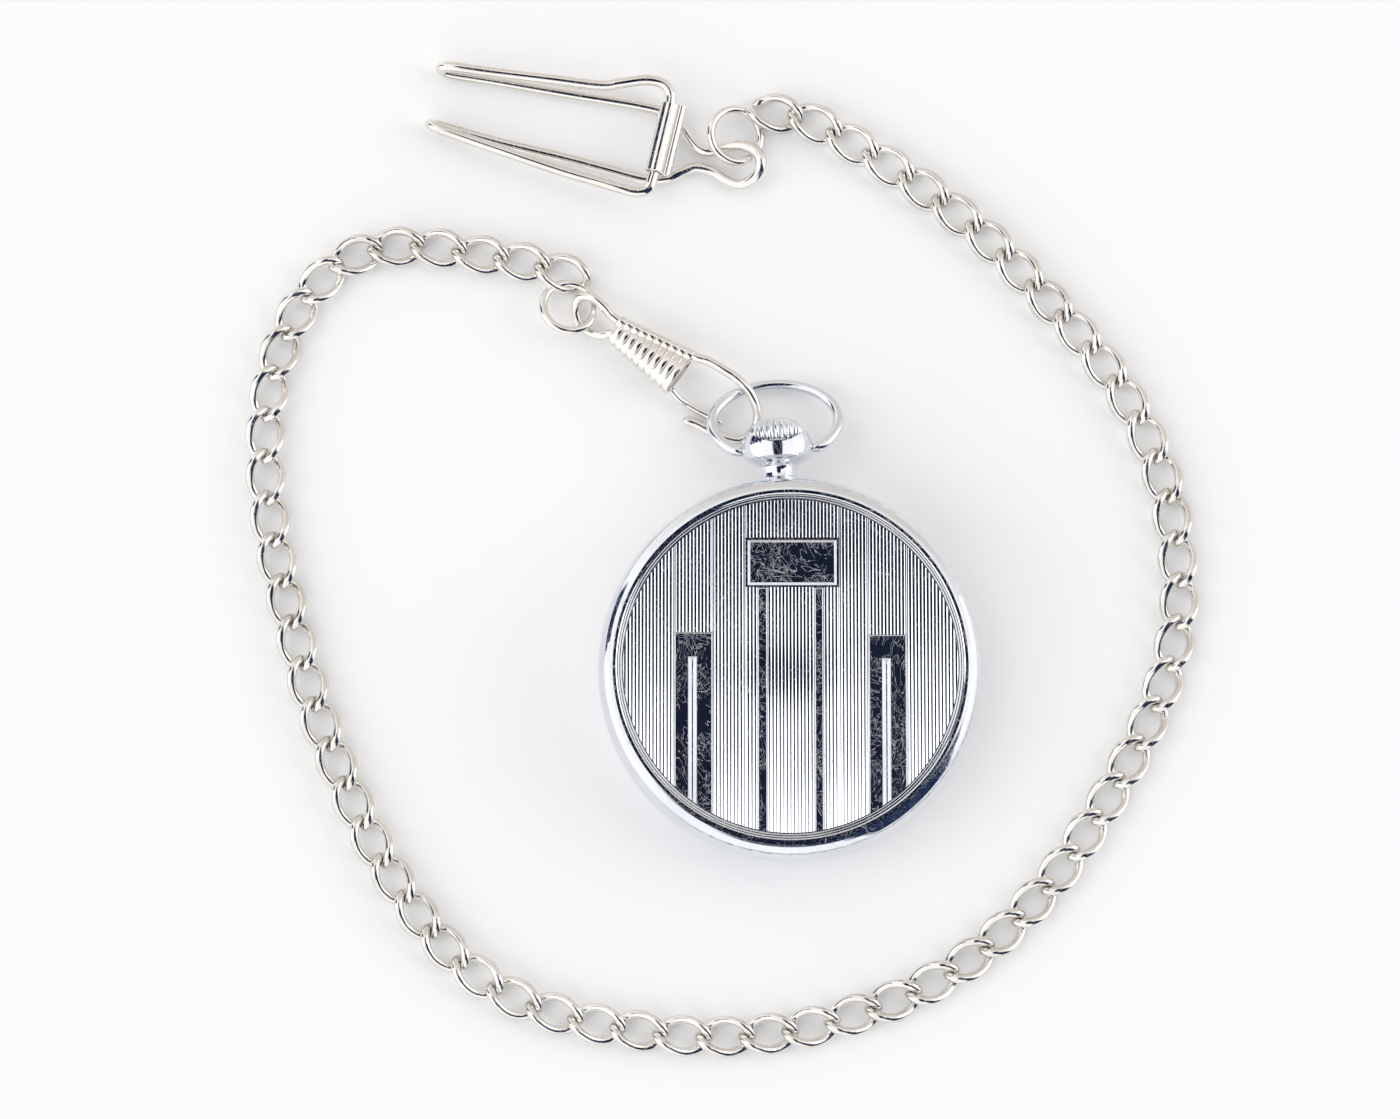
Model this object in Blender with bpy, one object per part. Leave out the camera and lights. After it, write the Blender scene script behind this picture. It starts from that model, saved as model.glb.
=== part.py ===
"""Open-face pocket watch with a stem-wound movement, a snap-hook, a curb chain and a belt clip.

The watch lies on its crystal, back up (+Z), with the pendant towards +Y. The origin is the centre
of the crystal's flat outer face. Sizes are in millimetres times MM, so every length is in metres.
"""

import math

import bmesh
import bpy
from mathutils import Matrix, Vector

MM = 0.001

# ---- case ----
CASE_RADIUS = 22.5 * MM
CASE_THICKNESS = 9.6 * MM
BACK_FIELD_RADIUS = CASE_RADIUS - 2.2 * MM  # flat engraved field of the back
BACK_WALL = 1.0 * MM
LIP_OUTER = CASE_RADIUS - 1.9 * MM  # snap lips of the band
LIP_INNER = LIP_OUTER - 1.2 * MM
SNAP_GAP = 0.3 * MM
SEAM = 0.15 * MM  # gap left where two pieces touch
CRYSTAL_RADIUS = LIP_INNER - 1.2 * MM
CRYSTAL_FLAT_RADIUS = CRYSTAL_RADIUS - 1.2 * MM
CRYSTAL_THICKNESS = 1.15 * MM
CASE_STEPS = 44

# ---- pendant, crown and bow ----
STEM_Z = 4.85 * MM
NECK_RADIUS = 2.1 * MM
CROWN_RADIUS = 3.1 * MM
BULB_RADIUS = CROWN_RADIUS + 1.15 * MM
BULB_FLATTENING = 0.86
BULB_WALL = 0.3 * MM
PIVOT_Y = CASE_RADIUS + 3.7 * MM
PENDANT_START = CASE_RADIUS - 0.35 * MM
PENDANT_END = PIVOT_Y + 1.9 * MM
SCOOP_RADIUS = BULB_RADIUS + 0.15 * MM
CROWN_START = PIVOT_Y + 0.55 * MM
CROWN_LENGTH = 3.1 * MM
CROWN_FLUTES = 22
STEM_RADIUS = 0.55 * MM
STEM_START = 13.4 * MM
BORE_CLEARANCE = 0.25 * MM
BOW_WIRE = 0.68 * MM  # radius
BOW_HALF_WIDTH = 7.5 * MM
BOW_LENGTH = 9.3 * MM
BOW_DROOP = math.radians(24.5)
BOW_PIN_INNER = CROWN_RADIUS + 0.65 * MM

# ---- movement ----
PLATE_RADIUS = LIP_INNER - 0.3 * MM
DIAL_Z = (2.6 * MM, 2.85 * MM)
PLATE_Z = (4.05 * MM, 4.85 * MM)
BRIDGE_Z = (6.6 * MM, 7.2 * MM)
TOP_WHEEL_Z = (7.3 * MM, 7.7 * MM)
PIVOT_RADIUS = 0.25 * MM
PIVOT_CLEARANCE = 0.12 * MM
ADDENDUM = 0.7  # tooth tip above the pitch circle, in modules
DEDENDUM = 1.2

# Tooth counts of a train with a small seconds hand, from the barrel to the escape wheel.
BARREL_TEETH = 80
CENTRE_PINION_LEAVES = 10
CENTRE_TEETH = 64
THIRD_PINION_LEAVES = 8
THIRD_TEETH = 60
FOURTH_PINION_LEAVES = 8
FOURTH_TEETH = 70
ESCAPE_PINION_LEAVES = 7
ESCAPE_TEETH = 15
CANNON_TEETH = 12
MINUTE_TEETH = 36
MINUTE_PINION_LEAVES = 10
HOUR_TEETH = 40
RATCHET_TEETH = 30
CROWN_WHEEL_TEETH = 18
WINDING_TEETH = 9

CENTRE_AT = Vector((0.0, 0.0, 0.0))
BARREL_DISTANCE = 9.5 * MM
BARREL_BEARING = math.radians(145.0)
CENTRE_TO_THIRD = 5.76 * MM
THIRD_TO_FOURTH = 5.1 * MM
CENTRE_TO_FOURTH = 8.6 * MM  # also where the small seconds hand turns
FOURTH_TO_ESCAPE = 4.62 * MM
ESCAPE_BEARING = math.radians(230.0)
BALANCE_AT = Vector((-9.2 * MM, -9.6 * MM, 0.0))
BALANCE_RADIUS = 5.1 * MM
PALLET_DISTANCE = 2.95 * MM
MOTION_DISTANCE = 3.6 * MM
MOTION_BEARING = math.radians(60.0)
CROWN_WHEEL_Y = 11.5 * MM

# ---- clasp, chain and clip ----
# The clasp hangs on the bow, so every piece of the chain set moves with the bow's pivots.
POINTS_PIVOT_Y = 26.2 * MM  # the pivots' place that the listed points of the wires belong to
CHAIN_SET_SHIFT = Vector((0.0, PIVOT_Y - POINTS_PIVOT_Y, 0.0))
CLASP_WIRE = 0.6 * MM
GATE_WIRE = 0.45 * MM
RING_WIRE = 0.52 * MM
CHAIN_WIRE = 1.26 * MM  # half of the chain's height, the plain tube that stands for its links
CLIP_WIRE = 0.68 * MM
SLEEVE_RADIUS = 1.15 * MM
SLEEVE_RIDGE_RADIUS = 0.62 * MM
BARREL_RIBS = 9

HAND_CHOSEN_CHAIN = [
    (-25.3, 50.0), (-28.4, 50.9), (-35.4, 52.5), (-42.4, 53.7), (-49.4, 52.6),
    (-54.7, 48.2), (-58.2, 41.9), (-60.1, 34.9), (-60.6, 27.7), (-60.2, 20.6), (-59.1, 13.5),
    (-57.7, 6.5), (-56.1, -0.5), (-53.9, -7.2), (-51.4, -13.9), (-48.4, -20.3), (-44.8, -26.3),
    (-40.3, -31.8), (-34.8, -36.0), (-28.3, -38.8), (-21.5, -40.6), (-14.6, -41.8), (-7.6, -42.2),
    (-0.7, -41.7), (6.2, -40.2), (12.9, -38.0), (19.1, -34.8), (24.7, -30.6), (29.8, -25.6),
    (34.2, -20.1), (38.2, -14.3), (41.8, -8.2), (44.7, -1.6), (46.4, 5.2), (46.6, 12.4),
    (45.8, 19.5), (43.8, 26.4), (40.7, 32.8), (36.7, 38.7), (32.2, 44.3), (27.5, 49.8),
    (22.3, 54.8), (16.8, 59.3), (11.0, 63.4), (6.6, 66.1), (4.0, 67.3), (2.4, 67.8),
]
CHAIN_POINT_STEP = 6.2 * MM

BRIGHT_CHROME = ((0.62, 0.65, 0.70), 0.12, 1.0)
CHROME = ((0.50, 0.53, 0.58), 0.16, 1.0)
WARM_NICKEL = ((0.76, 0.74, 0.70), 0.20, 1.0)
BRASS = ((0.78, 0.60, 0.28), 0.28, 1.0)
STEEL = ((0.60, 0.61, 0.63), 0.25, 1.0)
BLUED = ((0.05, 0.09, 0.30), 0.25, 1.0)
NICKEL_PLATE = ((0.70, 0.69, 0.66), 0.30, 1.0)
ENAMEL = ((0.90, 0.88, 0.82), 0.35, 0.0)
GLASS = ((0.92, 0.94, 0.95), 0.05, 0.0)


def clear_scene():
    """Empties the scene so that the part is the only thing in it."""
    for obj in list(bpy.data.objects):
        bpy.data.objects.remove(obj, do_unlink=True)


def material(name, look):
    """A Principled material with one colour, roughness and metallic value."""
    found = bpy.data.materials.get(name)
    if found:
        return found
    colour, roughness, metallic = look
    made = bpy.data.materials.new(name)
    made.use_nodes = True
    shader = made.node_tree.nodes["Principled BSDF"]
    shader.inputs["Base Color"].default_value = (*colour, 1.0)
    shader.inputs["Roughness"].default_value = roughness
    shader.inputs["Metallic"].default_value = metallic
    made.diffuse_color = (*colour, 1.0)
    return made


def finish_mesh(name, bm, mat, origin=(0.0, 0.0, 0.0), smooth=35.0):
    """Turns a bmesh in world coordinates into a named object with its origin on its joint axis."""
    bmesh.ops.remove_doubles(bm, verts=bm.verts, dist=2e-6)
    bmesh.ops.recalc_face_normals(bm, faces=bm.faces)
    bm.transform(Matrix.Translation(-Vector(origin)))
    mesh = bpy.data.meshes.new(name)
    bm.to_mesh(mesh)
    bm.free()
    mesh.shade_smooth()
    mesh.set_sharp_from_angle(angle=math.radians(smooth))
    obj = bpy.data.objects.new(name, mesh)
    obj.location = origin
    bpy.context.scene.collection.objects.link(obj)
    if mat:
        mesh.materials.append(mat)
    return obj


def lathe_mesh(profile, steps, at=(0.0, 0.0, 0.0), along_y=False):
    """A bmesh turned from a closed (radius, height) outline, about Z or about Y."""
    bm = bmesh.new()
    rings = []
    for radius, height in profile:
        if radius < 1e-7:
            rings.append([bm.verts.new((0.0, 0.0, height))])
            continue
        rings.append(
            [
                bm.verts.new(
                    (
                        radius * math.cos(2 * math.pi * i / steps),
                        radius * math.sin(2 * math.pi * i / steps),
                        height,
                    )
                )
                for i in range(steps)
            ]
        )
    for k, ring in enumerate(rings):
        after = rings[(k + 1) % len(rings)]
        for i in range(steps):
            corners = [ring[i % len(ring)], ring[(i + 1) % len(ring)]]
            corners += [after[(i + 1) % len(after)], after[i % len(after)]]
            face = list(dict.fromkeys(corners))
            if len(face) > 2:
                bm.faces.new(face)
    if along_y:
        bm.transform(Matrix.Rotation(-math.pi / 2, 4, "X"))
    bm.transform(Matrix.Translation(at))
    return bm


def lathe(name, profile, steps, mat, at=(0.0, 0.0, 0.0), along_y=False, origin=None):
    """A turned solid as an object."""
    bm = lathe_mesh(profile, steps, at, along_y)
    return finish_mesh(name, bm, mat, at if origin is None else origin)


def prism_mesh(outline, z_low, z_high, at=(0.0, 0.0, 0.0)):
    """A bmesh of a flat outline extruded from z_low to z_high."""
    bm = bmesh.new()
    face = bm.faces.new([bm.verts.new((x, y, z_low)) for x, y in outline])
    grown = bmesh.ops.extrude_face_region(bm, geom=[face])
    moved = [v for v in grown["geom"] if isinstance(v, bmesh.types.BMVert)]
    bmesh.ops.translate(bm, verts=moved, vec=(0.0, 0.0, z_high - z_low))
    bm.transform(Matrix.Translation(at))
    return bm


def prism(name, outline, z_low, z_high, mat, at=(0.0, 0.0, 0.0)):
    """An extruded outline as an object whose origin is at its own axis."""
    return finish_mesh(name, prism_mesh(outline, z_low, z_high, at), mat, at)


def circle(radius, steps, at=(0.0, 0.0), turn=0.0):
    """Points of a circle, counter-clockwise."""
    return [
        (
            at[0] + radius * math.cos(turn + 2 * math.pi * i / steps),
            at[1] + radius * math.sin(turn + 2 * math.pi * i / steps),
        )
        for i in range(steps)
    ]


def gear(teeth, pitch_radius, turn=0.0, lean=0.0):
    """Pointed watch teeth: one tip and one root for each tooth."""
    module = 2 * pitch_radius / teeth
    points = []
    for i in range(teeth):
        tip = turn + 2 * math.pi * (i + lean) / teeth
        root = turn + 2 * math.pi * (i + 0.5) / teeth
        outer = pitch_radius + ADDENDUM * module
        inner = pitch_radius - DEDENDUM * module
        points.append((outer * math.cos(tip), outer * math.sin(tip)))
        points.append((inner * math.cos(root), inner * math.sin(root)))
    return points


def tube(name, points, radius, mat, closed=False, sides=2, origin=(0.0, 0.0, 0.0)):
    """A round wire or tube along a list of points, with filled ends."""
    data = bpy.data.curves.new(name, "CURVE")
    data.dimensions = "3D"
    data.bevel_depth = radius
    data.bevel_resolution = sides
    data.use_fill_caps = not closed
    spline = data.splines.new("POLY")
    spline.points.add(len(points) - 1)
    for point, place in zip(spline.points, points):
        point.co = (*(Vector(place) - Vector(origin)), 1.0)
        point.radius = 1.0
    spline.use_cyclic_u = closed
    spline.use_smooth = True
    data.materials.append(mat)
    obj = bpy.data.objects.new(name, data)
    obj.location = origin
    bpy.context.scene.collection.objects.link(obj)
    return obj


def smooth_route(route, step, closed=False):
    """Evenly spaced points on a Catmull-Rom curve through the route's own points."""
    points = [Vector(p) for p in route]
    count = len(points)
    dense = []
    spans = count if closed else count - 1
    for i in range(spans):
        a = points[(i - 1) % count] if closed or i > 0 else points[0] * 2 - points[1]
        b = points[i]
        c = points[(i + 1) % count]
        last = points[-1] * 2 - points[-2]
        d = points[(i + 2) % count] if closed or i + 2 < count else last
        for k in range(24):
            t = k / 24
            dense.append(
                0.5
                * (
                    2 * b
                    + (c - a) * t
                    + (2 * a - 5 * b + 4 * c - d) * t * t
                    + (3 * b - a - 3 * c + d) * t**3
                )
            )
    dense.append(points[0] if closed else points[-1])
    lengths = [0.0]
    for a, b in zip(dense, dense[1:]):
        lengths.append(lengths[-1] + (b - a).length)
    steps = max(3, round(lengths[-1] / step))
    picked = []
    at = 0
    for k in range(steps + (0 if closed else 1)):
        want = lengths[-1] * k / steps
        while at < len(dense) - 2 and lengths[at + 1] < want:
            at += 1
        share = (want - lengths[at]) / max(lengths[at + 1] - lengths[at], 1e-12)
        picked.append(dense[at].lerp(dense[at + 1], min(max(share, 0.0), 1.0)))
    return picked


def by_bow(point):
    """A point of the chain set, written in millimetres, in metres beside the bow."""
    return Vector(point) * MM + CHAIN_SET_SHIFT


def scaled(route):
    """A route of the chain set, written in millimetres, in metres beside the bow."""
    return [tuple(by_bow(point)) for point in route]


def modify(obj, cutter_mesh, operation, label):
    """Adds a live Boolean whose cutter is hidden from the build."""
    bmesh.ops.remove_doubles(cutter_mesh, verts=cutter_mesh.verts, dist=2e-6)
    bmesh.ops.recalc_face_normals(cutter_mesh, faces=cutter_mesh.faces)
    mesh = bpy.data.meshes.new(label)
    cutter_mesh.to_mesh(mesh)
    cutter_mesh.free()
    cutter = bpy.data.objects.new(label, mesh)
    bpy.context.scene.collection.objects.link(cutter)
    cutter.hide_render = True
    cutter.display_type = "WIRE"
    boolean = obj.modifiers.new(label, "BOOLEAN")
    boolean.operation = operation
    boolean.object = cutter
    boolean.solver = "EXACT"


def cut(obj, cutter_mesh, label):
    """Takes a shape away from an object."""
    modify(obj, cutter_mesh, "DIFFERENCE", label)


def join(obj, added_mesh, label):
    """Adds a shape to an object as one body."""
    modify(obj, added_mesh, "UNION", label)


def merged(meshes):
    """Several separate bmesh bodies in one, for a cutter with many holes."""
    together = bmesh.new()
    for one in meshes:
        mesh = bpy.data.meshes.new("scratch")
        one.to_mesh(mesh)
        one.free()
        together.from_mesh(mesh)
        bpy.data.meshes.remove(mesh)
    return together


def box_mesh(low, high):
    """A bmesh box between two corners."""
    outline = [(low[0], low[1]), (high[0], low[1]), (high[0], high[1]), (low[0], high[1])]
    return prism_mesh(outline, low[2], high[2])


def bearing(distance, angle, start=CENTRE_AT):
    """The point at a distance and an angle from another."""
    return Vector((start.x + distance * math.cos(angle), start.y + distance * math.sin(angle), 0.0))


# ---- where the wheels turn, seen from the back ----
BARREL_AT = bearing(BARREL_DISTANCE, BARREL_BEARING)
FOURTH_AT = Vector((0.0, -CENTRE_TO_FOURTH, 0.0))
THIRD_SWING = math.acos(
    (CENTRE_TO_THIRD**2 + CENTRE_TO_FOURTH**2 - THIRD_TO_FOURTH**2)
    / (2 * CENTRE_TO_THIRD * CENTRE_TO_FOURTH)
)
THIRD_AT = bearing(CENTRE_TO_THIRD, THIRD_SWING - math.pi / 2)
ESCAPE_AT = bearing(FOURTH_TO_ESCAPE, ESCAPE_BEARING, FOURTH_AT)
TOWARDS_BALANCE = math.atan2(BALANCE_AT.y - ESCAPE_AT.y, BALANCE_AT.x - ESCAPE_AT.x)
PALLET_AT = bearing(PALLET_DISTANCE, TOWARDS_BALANCE, ESCAPE_AT)
MINUTE_AT = bearing(MOTION_DISTANCE, MOTION_BEARING)
CROWN_WHEEL_AT = Vector((0.0, CROWN_WHEEL_Y, 0.0))


def case():
    """Crystal, bezel, band and snap-on back, all turned about the watch's axis."""
    chrome = material("case_chrome", BRIGHT_CHROME)
    crystal_edge = 0.75 * MM
    lathe(
        "crystal",
        [
            (0.0, 0.0),
            (CRYSTAL_FLAT_RADIUS, 0.0),
            (CRYSTAL_RADIUS, crystal_edge),
            (CRYSTAL_RADIUS, CRYSTAL_THICKNESS),
            (0.0, CRYSTAL_THICKNESS),
        ],
        CASE_STEPS,
        material("crystal_glass", GLASS),
    )
    seat = CRYSTAL_RADIUS + 0.25 * MM
    rim = CASE_RADIUS - 0.2 * MM
    ledge_low = CRYSTAL_THICKNESS + 0.2 * MM
    ledge_high = ledge_low + 0.3 * MM
    bezel_top = 2.75 * MM
    skirt = LIP_OUTER + SNAP_GAP
    lathe(
        "front_bezel",
        [
            (seat, 0.6 * MM),
            (seat + 1.2 * MM, 0.42 * MM),
            (rim - 1.2 * MM, 0.75 * MM),
            (rim - 0.4 * MM, 1.35 * MM),
            (rim, 2.1 * MM),
            (rim, bezel_top),
            (skirt, bezel_top),
            (skirt, ledge_high),
            (seat - 0.9 * MM, ledge_high),
            (seat - 0.9 * MM, ledge_low),
            (seat, ledge_low),
        ],
        CASE_STEPS,
        chrome,
    )
    band_low = bezel_top + SEAM
    back_low = 6.95 * MM
    band_high = back_low - SEAM
    ceiling = CASE_THICKNESS - BACK_WALL
    band = lathe(
        "case_band",
        [
            (LIP_INNER, ledge_high + SEAM),
            (LIP_OUTER, ledge_high + SEAM),
            (LIP_OUTER, band_low),
            (rim, band_low),
            (CASE_RADIUS, STEM_Z - 0.9 * MM),
            (CASE_RADIUS, STEM_Z + 0.9 * MM),
            (rim, band_high),
            (LIP_OUTER, band_high),
            (LIP_OUTER, ceiling - 0.7 * MM),
            (LIP_INNER, ceiling - 0.7 * MM),
        ],
        CASE_STEPS,
        chrome,
    )
    neck_hole = [
        (0.0, LIP_INNER - 2 * MM),
        (NECK_RADIUS + SEAM, LIP_INNER - 2 * MM),
        (NECK_RADIUS + SEAM, CASE_RADIUS + 2 * MM),
        (0.0, CASE_RADIUS + 2 * MM),
    ]
    cut(band, lathe_mesh(neck_hole, 20, (0.0, 0.0, STEM_Z), True), "band_neck_hole")
    lathe(
        "case_back",
        [
            (0.0, CASE_THICKNESS),
            (BACK_FIELD_RADIUS, CASE_THICKNESS),
            (BACK_FIELD_RADIUS + 0.75 * MM, CASE_THICKNESS - 0.12 * MM),
            (BACK_FIELD_RADIUS + 1.4 * MM, CASE_THICKNESS - 0.5 * MM),
            (BACK_FIELD_RADIUS + 1.85 * MM, CASE_THICKNESS - 1.2 * MM),
            (CASE_RADIUS - 0.12 * MM, CASE_THICKNESS - 2.0 * MM),
            (rim, back_low),
            (skirt, back_low),
            (skirt, ceiling - 0.4 * MM),
            (skirt - 0.4 * MM, ceiling),
            (0.0, ceiling),
        ],
        CASE_STEPS,
        material("back_chrome", CHROME),
    )


def pendant_and_crown():
    """The bulb that holds the bow and the crown, the fluted crown and the winding stem."""
    chrome = material("case_chrome", BRIGHT_CHROME)
    bore = STEM_RADIUS + BORE_CLEARANCE
    socket = CROWN_RADIUS + BORE_CLEARANCE
    socket_floor = CROWN_START - 0.35 * MM
    start = PENDANT_START - 1.4 * MM
    pendant = finish_mesh(
        "pendant",
        lathe_mesh(
            [
                (bore, start),
                (NECK_RADIUS, start),
                (NECK_RADIUS, PENDANT_START + 1.7 * MM),
                (NECK_RADIUS + 0.5 * MM, PENDANT_START + 2.2 * MM),
                (BULB_RADIUS - 0.5 * MM, PIVOT_Y - 1.2 * MM),
                (BULB_RADIUS, PIVOT_Y - 0.2 * MM),
                (BULB_RADIUS - 0.05 * MM, PIVOT_Y + 0.9 * MM),
                (BULB_RADIUS - 0.4 * MM, PENDANT_END),
                (socket, PENDANT_END),
                (socket, socket_floor),
                (bore, socket_floor),
            ],
            32,
            along_y=True,
        ),
        chrome,
    )
    for vert in pendant.data.vertices:
        radius = math.hypot(vert.co.x, vert.co.z)
        if radius > socket + 0.05 * MM:
            vert.co.z *= max(BULB_FLATTENING, (socket + BULB_WALL) / radius)
        vert.co.z += STEM_Z
    scoop_at = (0.0, CROWN_START + SCOOP_RADIUS - 0.15 * MM)
    scoop = prism_mesh(circle(SCOOP_RADIUS, 32, scoop_at), -2 * MM, 12 * MM)
    cut(pendant, scoop, "pendant_scoop")
    pin_bore = BOW_WIRE - 0.05 * MM
    reach = BULB_RADIUS + 2 * MM
    holes = [(0.0, -reach), (pin_bore, -reach), (pin_bore, reach), (0.0, reach)]
    through = lathe_mesh(holes, 12)
    through.transform(Matrix.Rotation(math.pi / 2, 4, "Y"))
    through.transform(Matrix.Translation((0.0, PIVOT_Y, STEM_Z)))
    cut(pendant, through, "pendant_pin_holes")

    crown_mesh = bmesh.new()
    shape = [
        (0.62, 0.0, 0.0),
        (0.90, 0.10, 0.05),
        (1.0, 0.42, 0.09),
        (0.97, 0.72, 0.08),
        (0.80, 0.90, 0.03),
        (0.45, 1.0, 0.0),
    ]
    around = CROWN_FLUTES * 2
    rings = []
    for share, along, depth in shape:
        ring = []
        for i in range(around):
            radius = CROWN_RADIUS * share * (1.0 - (depth if i % 2 else 0.0))
            turn = 2 * math.pi * i / around
            height = CROWN_START + CROWN_LENGTH * along
            place = (radius * math.cos(turn), height, STEM_Z + radius * math.sin(turn))
            ring.append(crown_mesh.verts.new(place))
        rings.append(ring)
    for low, high in zip(rings, rings[1:]):
        for i in range(around):
            after = (i + 1) % around
            crown_mesh.faces.new([low[i], low[after], high[after], high[i]])
    crown_mesh.faces.new(rings[0])
    crown_mesh.faces.new(rings[-1])
    finish_mesh("crown", crown_mesh, chrome, (0.0, CROWN_START, STEM_Z), 60.0)
    lathe(
        "stem",
        [
            (0.0, STEM_START),
            (STEM_RADIUS, STEM_START),
            (STEM_RADIUS, CROWN_START - SEAM),
            (0.0, CROWN_START - SEAM),
        ],
        12,
        material("steel", STEEL),
        (0.0, 0.0, STEM_Z),
        True,
    )


def bow():
    """The oval loop, pivoted in the bulb's two sides and drooping onto the table."""
    ratio = BULB_RADIUS / BOW_HALF_WIDTH * 1.12
    lift = math.sqrt(1.0 - ratio * ratio)
    half = BOW_LENGTH / (1.0 + lift)
    start = math.asin(ratio)
    flat = [(BOW_PIN_INNER, 0.0), (BULB_RADIUS + 0.25 * MM, 0.0)]
    steps = 22
    for i in range(steps + 1):
        turn = start + 0.12 + (2 * math.pi - 2 * start - 0.24) * i / steps
        flat.append((BOW_HALF_WIDTH * math.sin(turn), half * (lift - math.cos(turn))))
    flat += [(-BULB_RADIUS - 0.25 * MM, 0.0), (-BOW_PIN_INNER, 0.0)]
    points = [
        (x, PIVOT_Y + t * math.cos(BOW_DROOP), STEM_Z - t * math.sin(BOW_DROOP))
        for x, t in flat
    ]
    wire = tube("bow", points, BOW_WIRE, material("case_chrome", BRIGHT_CHROME))
    for end in (0, 1, -1, -2):
        wire.data.splines[0].points[end].radius = 0.78


def hand(name, at, length, tail, width, hub, hole, z_low, thickness, mat):
    """A tapered hand with a round hub that is pushed onto its pipe."""
    body = prism(name, circle(hub, 16), z_low, z_low + thickness, mat, at)
    outline = [(-width, -tail), (width, -tail), (width * 0.35, length), (-width * 0.35, length)]
    join(body, prism_mesh(outline, z_low, z_low + thickness, at), name + "_blade")
    bore = prism_mesh(circle(hole, 16), z_low - MM, z_low + thickness + MM, at)
    cut(body, bore, name + "_bore")


def dial_and_hands():
    """Dial with its two holes, and the three hands on the crystal's side of it."""
    dial = prism("dial", circle(PLATE_RADIUS, CASE_STEPS), *DIAL_Z, material("dial_enamel", ENAMEL))
    low = DIAL_Z[0] - MM
    high = DIAL_Z[1] + MM
    holes = [
        prism_mesh(circle(1.45 * MM, 20), low, high),
        prism_mesh(circle(0.5 * MM, 12), low, high, FOURTH_AT),
    ]
    cut(dial, merged(holes), "dial_holes")
    blued = material("blued_steel", BLUED)
    hand("minute_hand", CENTRE_AT, 14.6 * MM, 3.2 * MM, 0.5 * MM, 1.15 * MM, 0.83 * MM,
         1.42 * MM, 0.18 * MM, blued)
    hand("hour_hand", CENTRE_AT, 9.8 * MM, 2.6 * MM, 0.65 * MM, 1.5 * MM, 1.18 * MM,
         1.85 * MM, 0.18 * MM, blued)
    hand("seconds_hand", FOURTH_AT, 3.6 * MM, 1.3 * MM, 0.2 * MM, 0.55 * MM, 0.3 * MM,
         2.2 * MM, 0.15 * MM, blued)


def pivot_holes(places, z, radius=PIVOT_RADIUS + PIVOT_CLEARANCE):
    """Cutters for the pivot holes of a plate or a bridge."""
    return [prism_mesh(circle(radius, 10), z[0] - MM, z[1] + MM, at) for at in places]


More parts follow.
